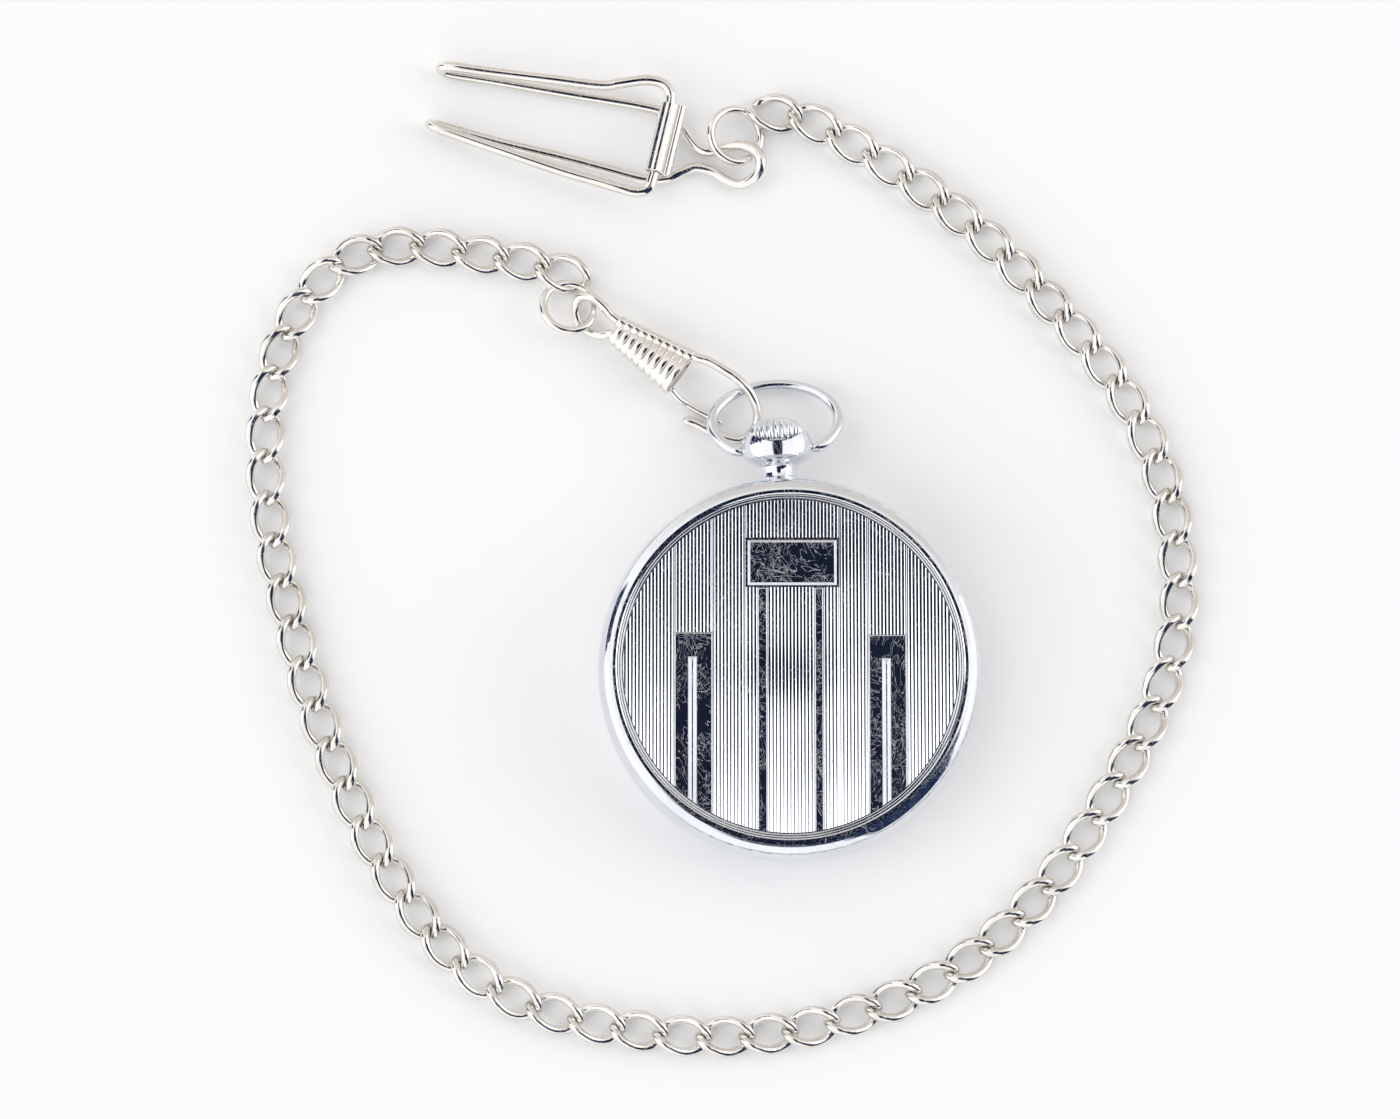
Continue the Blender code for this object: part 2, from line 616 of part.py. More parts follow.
def plates():
    """Main plate, pillars, the two bridges and the balance cock."""
    nickel = material("nickel_plate", NICKEL_PLATE)
    plate = prism("main_plate", circle(PLATE_RADIUS, CASE_STEPS), *PLATE_Z, nickel)
    slot = box_mesh(
        (-2.2 * MM, STEM_START - 0.3 * MM, PLATE_Z[0] - MM),
        (2.2 * MM, PLATE_RADIUS + 1.9 * MM, PLATE_Z[1] + MM),
    )
    places = [THIRD_AT, FOURTH_AT, ESCAPE_AT, PALLET_AT, BALANCE_AT]
    holes = pivot_holes(places, PLATE_Z)
    holes += pivot_holes([CENTRE_AT, BARREL_AT], PLATE_Z, 0.65 * MM)
    cut(plate, merged([slot] + holes), "plate_cuts")
    stud = prism_mesh(circle(0.3 * MM, 10), 3.1 * MM, PLATE_Z[0] + 0.2 * MM, MINUTE_AT)
    join(plate, stud, "minute_wheel_stud")

    split = -3.1 * MM
    gap = 0.4 * MM
    reach = 30 * MM
    low = BRIDGE_Z[0] - MM
    high = BRIDGE_Z[1] + MM
    bridge_radius = PLATE_RADIUS - 0.5 * MM
    upper = prism("barrel_bridge", circle(bridge_radius, CASE_STEPS), *BRIDGE_Z, nickel)
    cuts = [box_mesh((-reach, -reach, low), (reach, split, high))]
    cuts += [box_mesh((-2.2 * MM, STEM_START - 0.3 * MM, low), (2.2 * MM, reach, high))]
    cuts += pivot_holes([CENTRE_AT], BRIDGE_Z, 0.6 * MM)
    cuts += pivot_holes([BARREL_AT], BRIDGE_Z, 1.1 * MM)
    cut(upper, merged(cuts), "barrel_bridge_cuts")
    lower = prism("train_bridge", circle(bridge_radius, CASE_STEPS), *BRIDGE_Z, nickel)
    balance_window = circle(BALANCE_RADIUS + 0.9 * MM, 28, BALANCE_AT)
    cuts = [box_mesh((-reach, split - gap, low), (reach, reach, high))]
    cuts += [box_mesh((-reach, -reach, low), (BALANCE_AT.x + 1.5 * MM, reach, high))]
    cut(lower, merged(cuts[:1]), "train_bridge_split")
    cut(lower, cuts[1], "train_bridge_end")
    cut(lower, prism_mesh(balance_window, low, high), "train_bridge_window")
    holes = pivot_holes([THIRD_AT, FOURTH_AT, ESCAPE_AT], BRIDGE_Z)
    cut(lower, merged(holes), "train_bridge_holes")

    cock_z = (BRIDGE_Z[0] + 0.15 * MM, BRIDGE_Z[1])
    foot_at = bearing(17.2 * MM, math.radians(201.0))
    along = math.atan2(foot_at.y - BALANCE_AT.y, foot_at.x - BALANCE_AT.x)
    span = (foot_at - BALANCE_AT).length
    arm = []
    for distance, width in ((-1.3, 0.9), (-0.9, 1.4), (span / MM + 0.4, 1.5)):
        arm.append((distance * MM, width * MM))
    outline = [(d, -w) for d, w in arm] + [(d, w) for d, w in reversed(arm)]
    turned = []
    for x, y in outline:
        turned.append((
            x * math.cos(along) - y * math.sin(along),
            x * math.sin(along) + y * math.cos(along),
        ))
    cock = finish_mesh("balance_cock", prism_mesh(turned, *cock_z, BALANCE_AT), nickel, BALANCE_AT)
    foot = prism_mesh(circle(1.15 * MM, 14), PLATE_Z[1] + SEAM, cock_z[1] - 0.1 * MM, foot_at)
    join(cock, foot, "cock_foot")
    cut(cock, merged(pivot_holes([BALANCE_AT], cock_z)), "cock_pivot_hole")

    places = [bearing(16.9 * MM, math.radians(a)) for a in (20.0, 78.0, -52.0)]
    for number, at in enumerate(places, 1):
        low = PLATE_Z[1] + SEAM
        high = BRIDGE_Z[0] - SEAM
        prism(f"pillar_{number}", circle(0.9 * MM, 14), low, high, material("brass", BRASS), at)
        screw(f"bridge_screw_{number}", at, BRIDGE_Z[1] + SEAM)
    screw("cock_screw", foot_at, cock_z[1] + SEAM)
    for number, angle in enumerate((-5.0, 171.0), 1):
        at = bearing(17.6 * MM, math.radians(angle))
        screw(f"case_screw_{number}", at, BRIDGE_Z[1] + SEAM)


def screw(name, at, z):
    """A slotted cheese-head screw lying on its bridge."""
    height = 0.45 * MM
    body = prism(name, circle(0.75 * MM, 14), z, z + height, material("blued_steel", BLUED), at)
    slot = box_mesh((-MM, -0.1 * MM, z + 0.25 * MM), (MM, 0.1 * MM, z + MM))
    slot.transform(Matrix.Translation(at))
    cut(body, slot, name + "_slot")


def wheel(name, at, teeth, pitch, z, pinions, arbor, mat, turn=0.0, spokes=5, hub=1.0 * MM):
    """A crossed-out wheel with its pinion leaves and arbor as one pressed assembly."""
    body = prism(name, gear(teeth, pitch, turn), z[0], z[1], mat, at)
    rim = pitch - 0.9 * MM
    if spokes and rim - hub > 0.6 * MM:
        windows = []
        for i in range(spokes):
            middle = 2 * math.pi * (i + 0.5) / spokes
            half = math.pi / spokes
            inner = half - math.asin(min(0.28 * MM / hub, 0.6))
            outer = half - math.asin(0.28 * MM / rim)
            outline = [(hub, -inner), (rim, -outer), (rim, 0.0), (rim, outer), (hub, inner)]
            points = [
                (r * math.cos(middle + a), r * math.sin(middle + a)) for r, a in outline
            ]
            windows.append(prism_mesh(points, z[0] - MM, z[1] + MM, at))
        cut(body, merged(windows), name + "_crossings")
    for number, (leaves, radius, z_pinion, phase) in enumerate(pinions):
        leaf = prism_mesh(gear(leaves, radius, phase), *z_pinion, at)
        join(body, leaf, f"{name}_pinion_{number}")
    for number, (radius, low, high) in enumerate(arbor):
        rod = prism_mesh(circle(radius, 10), low, high, at)
        join(body, rod, f"{name}_arbor_{number}")
    return body


def phase_to_mesh(teeth, towards, other_teeth, other_turn, other_towards):
    """The turn that puts a tooth space of this wheel where the other wheel has a tooth."""
    other_pitch = 2 * math.pi / other_teeth
    ahead = ((other_towards - other_turn) / other_pitch) % 1.0
    pitch = 2 * math.pi / teeth
    return towards + (ahead + 0.5) * pitch


def angle_between(start, end):
    """The bearing of one axis seen from another."""
    return math.atan2(end.y - start.y, end.x - start.x)


def pitch_radius(distance, teeth, other):
    """The pitch radius that a tooth count gives at a centre distance."""
    return distance * teeth / (teeth + other)


def train():
    """The going train from the barrel to the escape wheel, with pallet fork and balance."""
    brass = material("brass", BRASS)
    steel = material("steel", STEEL)
    top = BRIDGE_Z[1] - 0.1 * MM
    bottom = PLATE_Z[0] + 0.1 * MM
    rod = 0.35 * MM
    shoulder_low = PLATE_Z[1] + 0.1 * MM
    shoulder_high = BRIDGE_Z[0] - 0.1 * MM
    pivots = [(PIVOT_RADIUS, bottom, top), (rod, shoulder_low, shoulder_high)]

    to_centre = angle_between(BARREL_AT, CENTRE_AT)
    drum_z = (5.05 * MM, 6.1 * MM)
    tooth_z = (5.2 * MM, 5.45 * MM)
    barrel_pitch = pitch_radius(BARREL_DISTANCE, BARREL_TEETH, CENTRE_PINION_LEAVES)
    centre_pinion = pitch_radius(BARREL_DISTANCE, CENTRE_PINION_LEAVES, BARREL_TEETH)
    drum_radius = barrel_pitch - 0.7 * MM
    barrel = prism("barrel", gear(BARREL_TEETH, barrel_pitch, to_centre), *tooth_z, brass, BARREL_AT)
    drum_outline = [(0.0, drum_z[0]), (drum_radius, drum_z[0]), (drum_radius, drum_z[1]), (0.0, drum_z[1])]
    join(barrel, lathe_mesh(drum_outline, 30, BARREL_AT), "barrel_drum")
    well = drum_radius - 0.45 * MM
    floor = drum_z[0] + 0.2 * MM
    well_outline = [(0.0, floor), (well, floor), (well, 7 * MM), (0.0, 7 * MM)]
    arbor_hole = prism_mesh(circle(0.75 * MM, 12), 4 * MM, 7 * MM, BARREL_AT)
    cut(barrel, lathe_mesh(well_outline, 30, BARREL_AT), "barrel_well")
    cut(barrel, arbor_hole, "barrel_arbor_hole")
    lid_z = (drum_z[1] - 0.2 * MM, drum_z[1] - 0.02 * MM)
    lid = prism("barrel_lid", circle(well - 0.08 * MM, 30), *lid_z, brass, BARREL_AT)
    cut(lid, prism_mesh(circle(1.2 * MM, 12), 5 * MM, 7 * MM, BARREL_AT), "barrel_lid_hole")
    spring("mainspring", BARREL_AT, 1.3 * MM, well - 0.25 * MM, 4, 14, 0.12 * MM,
           (floor + 0.12 * MM, lid_z[0] - 0.1 * MM), steel)
    finish_mesh(
        "barrel_arbor",
        lathe_mesh(
            [
                (0.0, PLATE_Z[0] + 0.1 * MM),
                (0.5 * MM, PLATE_Z[0] + 0.1 * MM),
                (0.5 * MM, floor + 0.15 * MM),
                (1.0 * MM, floor + 0.15 * MM),
                (1.0 * MM, TOP_WHEEL_Z[0] - SEAM),
                (0.5 * MM, TOP_WHEEL_Z[0] - SEAM),
                (0.5 * MM, TOP_WHEEL_Z[1]),
                (0.0, TOP_WHEEL_Z[1]),
            ],
            12,
            BARREL_AT,
        ),
        steel,
        BARREL_AT,
    )

    centre_z = (6.25 * MM, 6.42 * MM)
    to_third = angle_between(CENTRE_AT, THIRD_AT)
    centre_wheel_radius = pitch_radius(CENTRE_TO_THIRD, CENTRE_TEETH, THIRD_PINION_LEAVES)
    phase = phase_to_mesh(CENTRE_PINION_LEAVES, to_centre + math.pi, BARREL_TEETH, to_centre, to_centre)
    wheel(
        "centre_wheel",
        CENTRE_AT,
        CENTRE_TEETH,
        centre_wheel_radius,
        centre_z,
        [(CENTRE_PINION_LEAVES, centre_pinion, (5.1 * MM, 5.6 * MM), phase)],
        [(0.45 * MM, 1.38 * MM, top), (0.7 * MM, 5.0 * MM, centre_z[0] + 0.05 * MM)],
        brass,
        to_third,
        hub=1.5 * MM,
    )
    third_pinion = pitch_radius(CENTRE_TO_THIRD, THIRD_PINION_LEAVES, CENTRE_TEETH)
    third_wheel_radius = pitch_radius(THIRD_TO_FOURTH, THIRD_TEETH, FOURTH_PINION_LEAVES)
    phase = phase_to_mesh(THIRD_PINION_LEAVES, to_third + math.pi, CENTRE_TEETH, to_third, to_third)
    to_fourth = angle_between(THIRD_AT, FOURTH_AT)
    wheel(
        "third_wheel",
        THIRD_AT,
        THIRD_TEETH,
        third_wheel_radius,
        (5.78 * MM, 5.92 * MM),
        [(THIRD_PINION_LEAVES, third_pinion, (6.1 * MM, 6.48 * MM), phase)],
        pivots,
        brass,
        to_fourth,
    )
    fourth_pinion = pitch_radius(THIRD_TO_FOURTH, FOURTH_PINION_LEAVES, THIRD_TEETH)
    fourth_wheel_radius = pitch_radius(FOURTH_TO_ESCAPE, FOURTH_TEETH, ESCAPE_PINION_LEAVES)
    phase = phase_to_mesh(FOURTH_PINION_LEAVES, to_fourth + math.pi, THIRD_TEETH, to_fourth, to_fourth)
    to_escape = ESCAPE_BEARING
    fourth_pivots = [(0.22 * MM, 2.12 * MM, top), (rod, shoulder_low, shoulder_high)]
    wheel(
        "fourth_wheel",
        FOURTH_AT,
        FOURTH_TEETH,
        fourth_wheel_radius,
        (5.32 * MM, 5.46 * MM),
        [(FOURTH_PINION_LEAVES, fourth_pinion, (5.65 * MM, 6.05 * MM), phase)],
        fourth_pivots,
        brass,
        to_escape,
    )
    escape_pinion = pitch_radius(FOURTH_TO_ESCAPE, ESCAPE_PINION_LEAVES, FOURTH_TEETH)
    phase = phase_to_mesh(ESCAPE_PINION_LEAVES, to_escape + math.pi, FOURTH_TEETH, to_escape, to_escape)
    escape_z = (5.0 * MM, 5.15 * MM)
    teeth = []
    for i in range(ESCAPE_TEETH):
        turn = 2 * math.pi * i / ESCAPE_TEETH
        for radius, offset in ((1.72, 0.0), (2.3, 0.16), (2.22, 0.22), (1.72, 0.26)):
            angle = turn + offset
            teeth.append((radius * MM * math.cos(angle), radius * MM * math.sin(angle)))
    escape = prism("escape_wheel", teeth, *escape_z, steel, ESCAPE_AT)
    leaf = gear(ESCAPE_PINION_LEAVES, escape_pinion, phase)
    join(escape, prism_mesh(leaf, 5.1 * MM, 5.6 * MM, ESCAPE_AT), "escape_pinion")
    arbor = [prism_mesh(circle(PIVOT_RADIUS, 10), bottom, top, ESCAPE_AT)]
    join(escape, arbor[0], "escape_arbor")


def escapement():
    """Pallet fork, balance wheel with its roller, and the hairspring above it."""
    steel = material("steel", STEEL)
    top = BRIDGE_Z[1] - 0.1 * MM
    bottom = PLATE_Z[0] + 0.1 * MM
    fork_z = (5.0 * MM, 5.2 * MM)
    rim_z = (5.72 * MM, 6.15 * MM)
    away = TOWARDS_BALANCE
    reach = (BALANCE_AT - PALLET_AT).length - 1.0 * MM
    local = [
        (-0.45, 1.75), (-0.95, 1.75), (-0.8, 1.35), (-0.35, 0.4), (-0.35, -0.4), (-0.8, -1.35),
        (-0.95, -1.75), (-0.45, -1.75), (-0.25, -1.3), (0.5, -0.25),
        (reach / MM - 0.6, -0.2), (reach / MM, -0.55), (reach / MM, -0.28),
        (reach / MM - 0.35, -0.12), (reach / MM - 0.35, 0.12), (reach / MM, 0.28),
        (reach / MM, 0.55), (reach / MM - 0.6, 0.2), (0.5, 0.25), (-0.25, 1.3),
    ]
    outline = []
    for x, y in reversed(local):
        outline.append((
            (x * math.cos(away) - y * math.sin(away)) * MM,
            (x * math.sin(away) + y * math.cos(away)) * MM,
        ))
    fork = prism("pallet_fork", outline, *fork_z, steel, PALLET_AT)
    # the arbor ends under the balance, whose arm sweeps over it
    arbor_top = rim_z[0] - 0.12 * MM
    staff = prism_mesh(circle(PIVOT_RADIUS, 10), bottom, arbor_top, PALLET_AT)
    join(fork, staff, "pallet_arbor")

    rim_inner = BALANCE_RADIUS - 0.55 * MM
    brass = material("brass", BRASS)
    balance = finish_mesh(
        "balance_wheel",
        lathe_mesh(
            [
                (rim_inner, rim_z[0]),
                (BALANCE_RADIUS, rim_z[0]),
                (BALANCE_RADIUS, rim_z[1]),
                (rim_inner, rim_z[1]),
            ],
            32,
            BALANCE_AT,
        ),
        brass,
        BALANCE_AT,
    )
    arm = box_mesh(
        (-rim_inner - 0.2 * MM, -0.35 * MM, rim_z[0] + 0.1 * MM),
        (rim_inner + 0.2 * MM, 0.35 * MM, rim_z[1] - 0.1 * MM),
    )
    arm.transform(Matrix.Rotation(away + math.pi / 2, 4, "Z"))
    arm.transform(Matrix.Translation(BALANCE_AT))
    join(balance, arm, "balance_arm")
    join(balance, prism_mesh(circle(PIVOT_RADIUS, 10), bottom, top, BALANCE_AT), "balance_staff")
    roller = prism_mesh(circle(0.95 * MM, 16), 5.35 * MM, 5.6 * MM, BALANCE_AT)
    join(balance, roller, "balance_roller")
    neck = prism_mesh(circle(0.4 * MM, 10), 5.4 * MM, 6.0 * MM, BALANCE_AT)
    join(balance, neck, "balance_neck")
    pin_at = bearing(0.72 * MM, away + math.pi, BALANCE_AT)
    join(balance, prism_mesh(circle(0.12 * MM, 8), 5.05 * MM, 5.45 * MM, pin_at), "impulse_pin")
    blued = material("blued_steel", BLUED)
    spring("hairspring", BALANCE_AT, 0.75 * MM, 2.6 * MM, 4, 13, 0.06 * MM,
           (6.3 * MM, 6.5 * MM), blued)


def spring(name, at, inner, outer, turns, steps, thickness, z, mat):
    """A flat spiral strip."""
    count = turns * steps
    inside = []
    outside = []
    for i in range(count + 1):
        radius = inner + (outer - inner) * i / count
        turn = 2 * math.pi * i / steps
        inside.append(((radius - thickness / 2) * math.cos(turn), (radius - thickness / 2) * math.sin(turn)))
        outside.append(((radius + thickness / 2) * math.cos(turn), (radius + thickness / 2) * math.sin(turn)))
    bm = bmesh.new()
    rows = []
    for (x0, y0), (x1, y1) in zip(inside, outside):
        rows.append(
            [
                bm.verts.new((x0, y0, z[0])),
                bm.verts.new((x1, y1, z[0])),
                bm.verts.new((x1, y1, z[1])),
                bm.verts.new((x0, y0, z[1])),
            ]
        )
    for a, b in zip(rows, rows[1:]):
        for k in range(4):
            bm.faces.new([a[k], a[(k + 1) % 4], b[(k + 1) % 4], b[k]])
    bm.faces.new(rows[0])
    bm.faces.new(rows[-1])
    bm.transform(Matrix.Translation(at))
    finish_mesh(name, bm, mat, at)


def motion_works():
    """Cannon pinion, minute wheel and hour wheel between the dial and the plate."""
    brass = material("brass", BRASS)
    steel = material("steel", STEEL)
    to_minute = MOTION_BEARING
    cannon_radius = pitch_radius(MOTION_DISTANCE, CANNON_TEETH, MINUTE_TEETH)
    minute_radius = pitch_radius(MOTION_DISTANCE, MINUTE_TEETH, CANNON_TEETH)
    minute_pinion = pitch_radius(MOTION_DISTANCE, MINUTE_PINION_LEAVES, HOUR_TEETH)
    hour_radius = pitch_radius(MOTION_DISTANCE, HOUR_TEETH, MINUTE_PINION_LEAVES)
    cannon = prism("cannon_pinion", gear(CANNON_TEETH, cannon_radius, to_minute), 3.5 * MM,
                   3.9 * MM, steel, CENTRE_AT)
    join(cannon, prism_mesh(circle(0.75 * MM, 14), 1.4 * MM, 3.7 * MM), "cannon_pipe")
    cut(cannon, prism_mesh(circle(0.52 * MM, 12), 0.0, 5 * MM), "cannon_bore")
    phase = phase_to_mesh(MINUTE_TEETH, to_minute + math.pi, CANNON_TEETH, to_minute, to_minute)
    minute = prism("minute_wheel", gear(MINUTE_TEETH, minute_radius, phase), 3.55 * MM, 3.75 * MM,
                   brass, MINUTE_AT)
    leaf = gear(MINUTE_PINION_LEAVES, minute_pinion, to_minute + math.pi)
    join(minute, prism_mesh(leaf, 3.1 * MM, 3.65 * MM, MINUTE_AT), "minute_pinion")
    cut(minute, prism_mesh(circle(0.4 * MM, 12), 2 * MM, 5 * MM, MINUTE_AT), "minute_bore")
    phase = phase_to_mesh(HOUR_TEETH, to_minute, MINUTE_PINION_LEAVES, to_minute + math.pi,
                          to_minute + math.pi)
    hour = prism("hour_wheel", gear(HOUR_TEETH, hour_radius, phase), 3.1 * MM, 3.3 * MM, brass,
                 CENTRE_AT)
    join(hour, prism_mesh(circle(1.1 * MM, 16), 1.8 * MM, 3.2 * MM), "hour_pipe")
    cut(hour, prism_mesh(circle(0.88 * MM, 16), 0.0, 5 * MM), "hour_bore")


def winding():
    """Ratchet wheel, crown wheel, click and the winding pinion on the stem."""
    steel = material("steel", STEEL)
    distance = (BARREL_AT - CROWN_WHEEL_AT).length
    towards = angle_between(CROWN_WHEEL_AT, BARREL_AT)
    crown_radius = pitch_radius(distance, CROWN_WHEEL_TEETH, RATCHET_TEETH)
    ratchet_radius = pitch_radius(distance, RATCHET_TEETH, CROWN_WHEEL_TEETH)
    crown_wheel = prism("crown_wheel", gear(CROWN_WHEEL_TEETH, crown_radius, towards),
                        *TOP_WHEEL_Z, steel, CROWN_WHEEL_AT)
    cut(crown_wheel, prism_mesh(circle(0.6 * MM, 12), 7 * MM, 8 * MM, CROWN_WHEEL_AT),
        "crown_wheel_bore")
    phase = phase_to_mesh(RATCHET_TEETH, towards + math.pi, CROWN_WHEEL_TEETH, towards, towards)
    ratchet = prism("ratchet_wheel", gear(RATCHET_TEETH, ratchet_radius, phase), *TOP_WHEEL_Z,
                    steel, BARREL_AT)
    cut(ratchet, prism_mesh(circle(0.62 * MM, 12), 7 * MM, 8 * MM, BARREL_AT), "ratchet_bore")
    click_at = bearing(ratchet_radius + 2.2 * MM, math.radians(262.0), BARREL_AT)
    aim = angle_between(click_at, BARREL_AT) + math.radians(35.0)
    local = [(-0.9, -0.7), (0.4, -0.75), (1.75, -0.15), (1.7, 0.15), (0.5, 0.75), (-0.9, 0.7)]
    outline = []
    for x, y in local:
        outline.append((
            (x * math.cos(aim) - y * math.sin(aim)) * MM,
            (x * math.sin(aim) + y * math.cos(aim)) * MM,
        ))
    prism("click", outline, *TOP_WHEEL_Z, steel, click_at)
    pinion = prism_mesh(gear(WINDING_TEETH, 1.5 * MM), STEM_START + 0.6 * MM, STEM_START + 2.8 * MM)
    pinion.transform(Matrix.Rotation(-math.pi / 2, 4, "X"))
    pinion.transform(Matrix.Translation((0.0, 0.0, STEM_Z)))
    body = finish_mesh("winding_pinion", pinion, steel, (0.0, STEM_START, STEM_Z))
    bore = STEM_RADIUS + 0.1 * MM
    hole = [(0.0, 10 * MM), (bore, 10 * MM), (bore, 20 * MM), (0.0, 20 * MM)]
    cut(body, lathe_mesh(hole, 12, (0.0, 0.0, STEM_Z), True), "winding_pinion_bore")


BARREL_NARROW = Vector((-18.1, 42.2, 2.1))
BARREL_WIDE = Vector((-10.9, 36.15, 2.6))


def clasp():
    """The bent hook wire, its ribbed barrel, the springy gate and the jump ring."""
    nickel = material("warm_nickel", WARM_NICKEL)
    hook = [
        (-8.95, 38.05, 3.1), (-7.6, 37.6, 3.15), (-5.9, 36.5, 3.2), (-3.9, 35.0, 3.0),
        (-2.5, 33.0, 2.5), (-2.0, 30.9, 1.55), (-2.7, 29.1, 0.95), (-4.3, 28.2, 0.75),
        (-6.3, 28.7, 0.75), (-8.1, 29.7, 0.75), (-9.4, 30.5, 0.75), (-10.4, 30.9, 0.75),
    ]
    tube("clasp_hook", smooth_route(scaled(hook), 1.2 * MM), CLASP_WIRE, nickel)
    eye = [
        (-18.6, 43.6, 2.7), (-19.6, 44.9, 2.9), (-20.9, 46.0, 2.9), (-22.3, 46.2, 2.2),
        (-23.0, 45.2, 1.3), (-22.7, 43.6, 0.75), (-21.6, 42.3, 0.75), (-20.2, 41.7, 1.1),
        (-19.0, 41.8, 1.6),
    ]
    tube("clasp_eye", smooth_route(scaled(eye), 1.0 * MM), CLASP_WIRE, nickel)
    along = (BARREL_WIDE - BARREL_NARROW) * MM
    length = along.length
    half_narrow = 1.95 * MM
    half_wide = 3.0 * MM
    flat = 0.62
    bm = bmesh.new()
    rings = []
    count = BARREL_RIBS * 2
    for k in range(count + 1):
        share = k / count
        groove = 0.86 if k % 2 and 0 < k < count else 1.0
        half = (half_narrow + (half_wide - half_narrow) * share) * groove
        ring = []
        for i in range(14):
            turn = 2 * math.pi * i / 14
            across = half * math.cos(turn)
            ring.append(bm.verts.new((share * length, across, half * flat * math.sin(turn))))
        rings.append(ring)
    for low, high in zip(rings, rings[1:]):
        for i in range(14):
            after = (i + 1) % 14
            bm.faces.new([low[i], low[after], high[after], high[i]])
    bm.faces.new(rings[0])
    bm.faces.new(rings[-1])
    bm.transform(along.to_track_quat("X", "Z").to_matrix().to_4x4())
    bm.transform(Matrix.Translation(by_bow(BARREL_NARROW)))
    finish_mesh("clasp_barrel", bm, nickel, by_bow(BARREL_NARROW), 50.0)
    gate = [(-12.0, 34.35, 2.0), (-11.2, 33.4, 1.5), (-9.9, 32.6, 0.95), (-8.3, 31.6, 0.7),
            (-6.6, 30.5, 0.7)]
    start = scaled(gate)[0]
    tube("clasp_gate", smooth_route(scaled(gate), 1.0 * MM), GATE_WIRE, nickel, origin=start)
    jump_ring("clasp_ring", (-23.7, 45.2, 1.75), 3.1 * MM, math.radians(16.9), math.radians(-120.0))


def jump_ring(name, at, radius, tilt, lean_towards):
    """A round wire ring, tipped about an axis that lies flat."""
    turn = Matrix.Rotation(tilt, 3, Vector((math.sin(lean_towards), -math.cos(lean_towards), 0.0)))
    points = []
    for i in range(20):
        angle = 2 * math.pi * i / 20
        flat = Vector((radius * math.cos(angle), radius * math.sin(angle), 0.0))
        points.append(turn @ flat + by_bow(at))
    tube(name, points, RING_WIRE, material("warm_nickel", WARM_NICKEL), closed=True)


def chain():
    """The curb chain as a plain tube along its real route on the table."""
    height = CHAIN_WIRE / MM + 0.02
    route = scaled([(x, y, height) for x, y in HAND_CHOSEN_CHAIN])
    points = smooth_route(route, CHAIN_POINT_STEP)
    tube("chain", points, CHAIN_WIRE, material("warm_nickel", WARM_NICKEL))


def clip():
    """The belt clip: one bent spring wire, the sleeve on its crossbar and its jump ring."""
    nickel = material("warm_nickel", WARM_NICKEL)
    low = 0.72
    bar = 3.15
    wire = [
        (-11.35, 65.6, bar), (-10.45, 68.6, bar), (-10.3, 70.3, bar), (-11.2, 71.5, bar),
        (-13.2, 72.0, bar), (-16.2, 71.8, bar - 0.1), (-18.6, 71.7, bar - 0.3),
        (-24.0, 72.7, 2.75), (-31.0, 74.0, 2.5), (-36.0, 75.0, 2.35), (-37.4, 75.1, 1.9),
        (-37.3, 74.8, 1.05), (-36.0, 74.4, low), (-31.0, 73.3, low), (-22.0, 71.2, low),
        (-14.0, 69.4, low), (-10.6, 68.2, low), (-9.2, 66.8, low), (-8.2, 65.0, low),
        (-7.2, 63.8, low), (-6.0, 63.4, low + 0.05), (-4.4, 63.7, low + 0.1),
        (-2.3, 63.75, low + 0.75), (-0.6, 63.0, 2.15), (0.1, 61.4, 2.5), (-0.6, 59.8, 2.0),
        (-2.4, 59.0, 1.3), (-4.2, 59.7, 0.95), (-5.8, 60.9, low), (-7.7, 61.5, low),
        (-9.6, 61.0, low), (-11.6, 60.3, low), (-14.2, 60.5, low), (-18.5, 61.9, low),
        (-24.0, 63.7, low), (-31.0, 65.8, low), (-37.4, 68.0, low), (-38.9, 68.4, 1.05),
        (-39.0, 68.2, 1.9), (-37.6, 67.3, 2.35), (-31.0, 64.5, 2.6), (-24.0, 61.6, 2.8),
        (-20.2, 60.2, bar - 0.2), (-17.0, 59.0, bar), (-15.0, 58.4, bar), (-13.6, 58.7, bar),
        (-12.9, 60.2, bar), (-12.1, 62.9, bar),
    ]
    tube("clip_wire", smooth_route(scaled(wire), 2.4 * MM), CLIP_WIRE, nickel, sides=1)
    start = by_bow((-12.75, 60.7, bar))
    end = by_bow((-10.35, 68.9, bar))
    length = (end - start).length
    inner = CLIP_WIRE + 0.12 * MM
    outline = [(inner, 0.0), (SLEEVE_RADIUS, 0.0), (SLEEVE_RADIUS, length), (inner, length)]
    bm = lathe_mesh(outline, 14, along_y=True)
    turn = Matrix.Rotation(math.atan2(end.y - start.y, end.x - start.x) - math.pi / 2, 4, "Z")
    bm.transform(turn)
    bm.transform(Matrix.Translation(start))
    sleeve = finish_mesh("clip_sleeve", bm, nickel, start)
    ridge_outline = [
        (0.0, 0.0), (SLEEVE_RIDGE_RADIUS, 0.0), (SLEEVE_RIDGE_RADIUS, length), (0.0, length),
    ]
    ridge = lathe_mesh(ridge_outline, 12, (SLEEVE_RADIUS + 0.25 * MM, 0.0, 0.1 * MM), True)
    ridge.transform(turn)
    ridge.transform(Matrix.Translation(start))
    join(sleeve, ridge, "clip_sleeve_ridge")
    jump_ring("clip_ring", (-2.75, 64.95, 1.75), 3.22 * MM, math.radians(22.0), math.radians(180.0))


def main():
    """Builds every sub-part of the watch."""
    clear_scene()
    case()
    pendant_and_crown()
    bow()
    dial_and_hands()
    plates()
    train()
    escapement()
    motion_works()
    winding()
    clasp()
    chain()
    clip()


main()
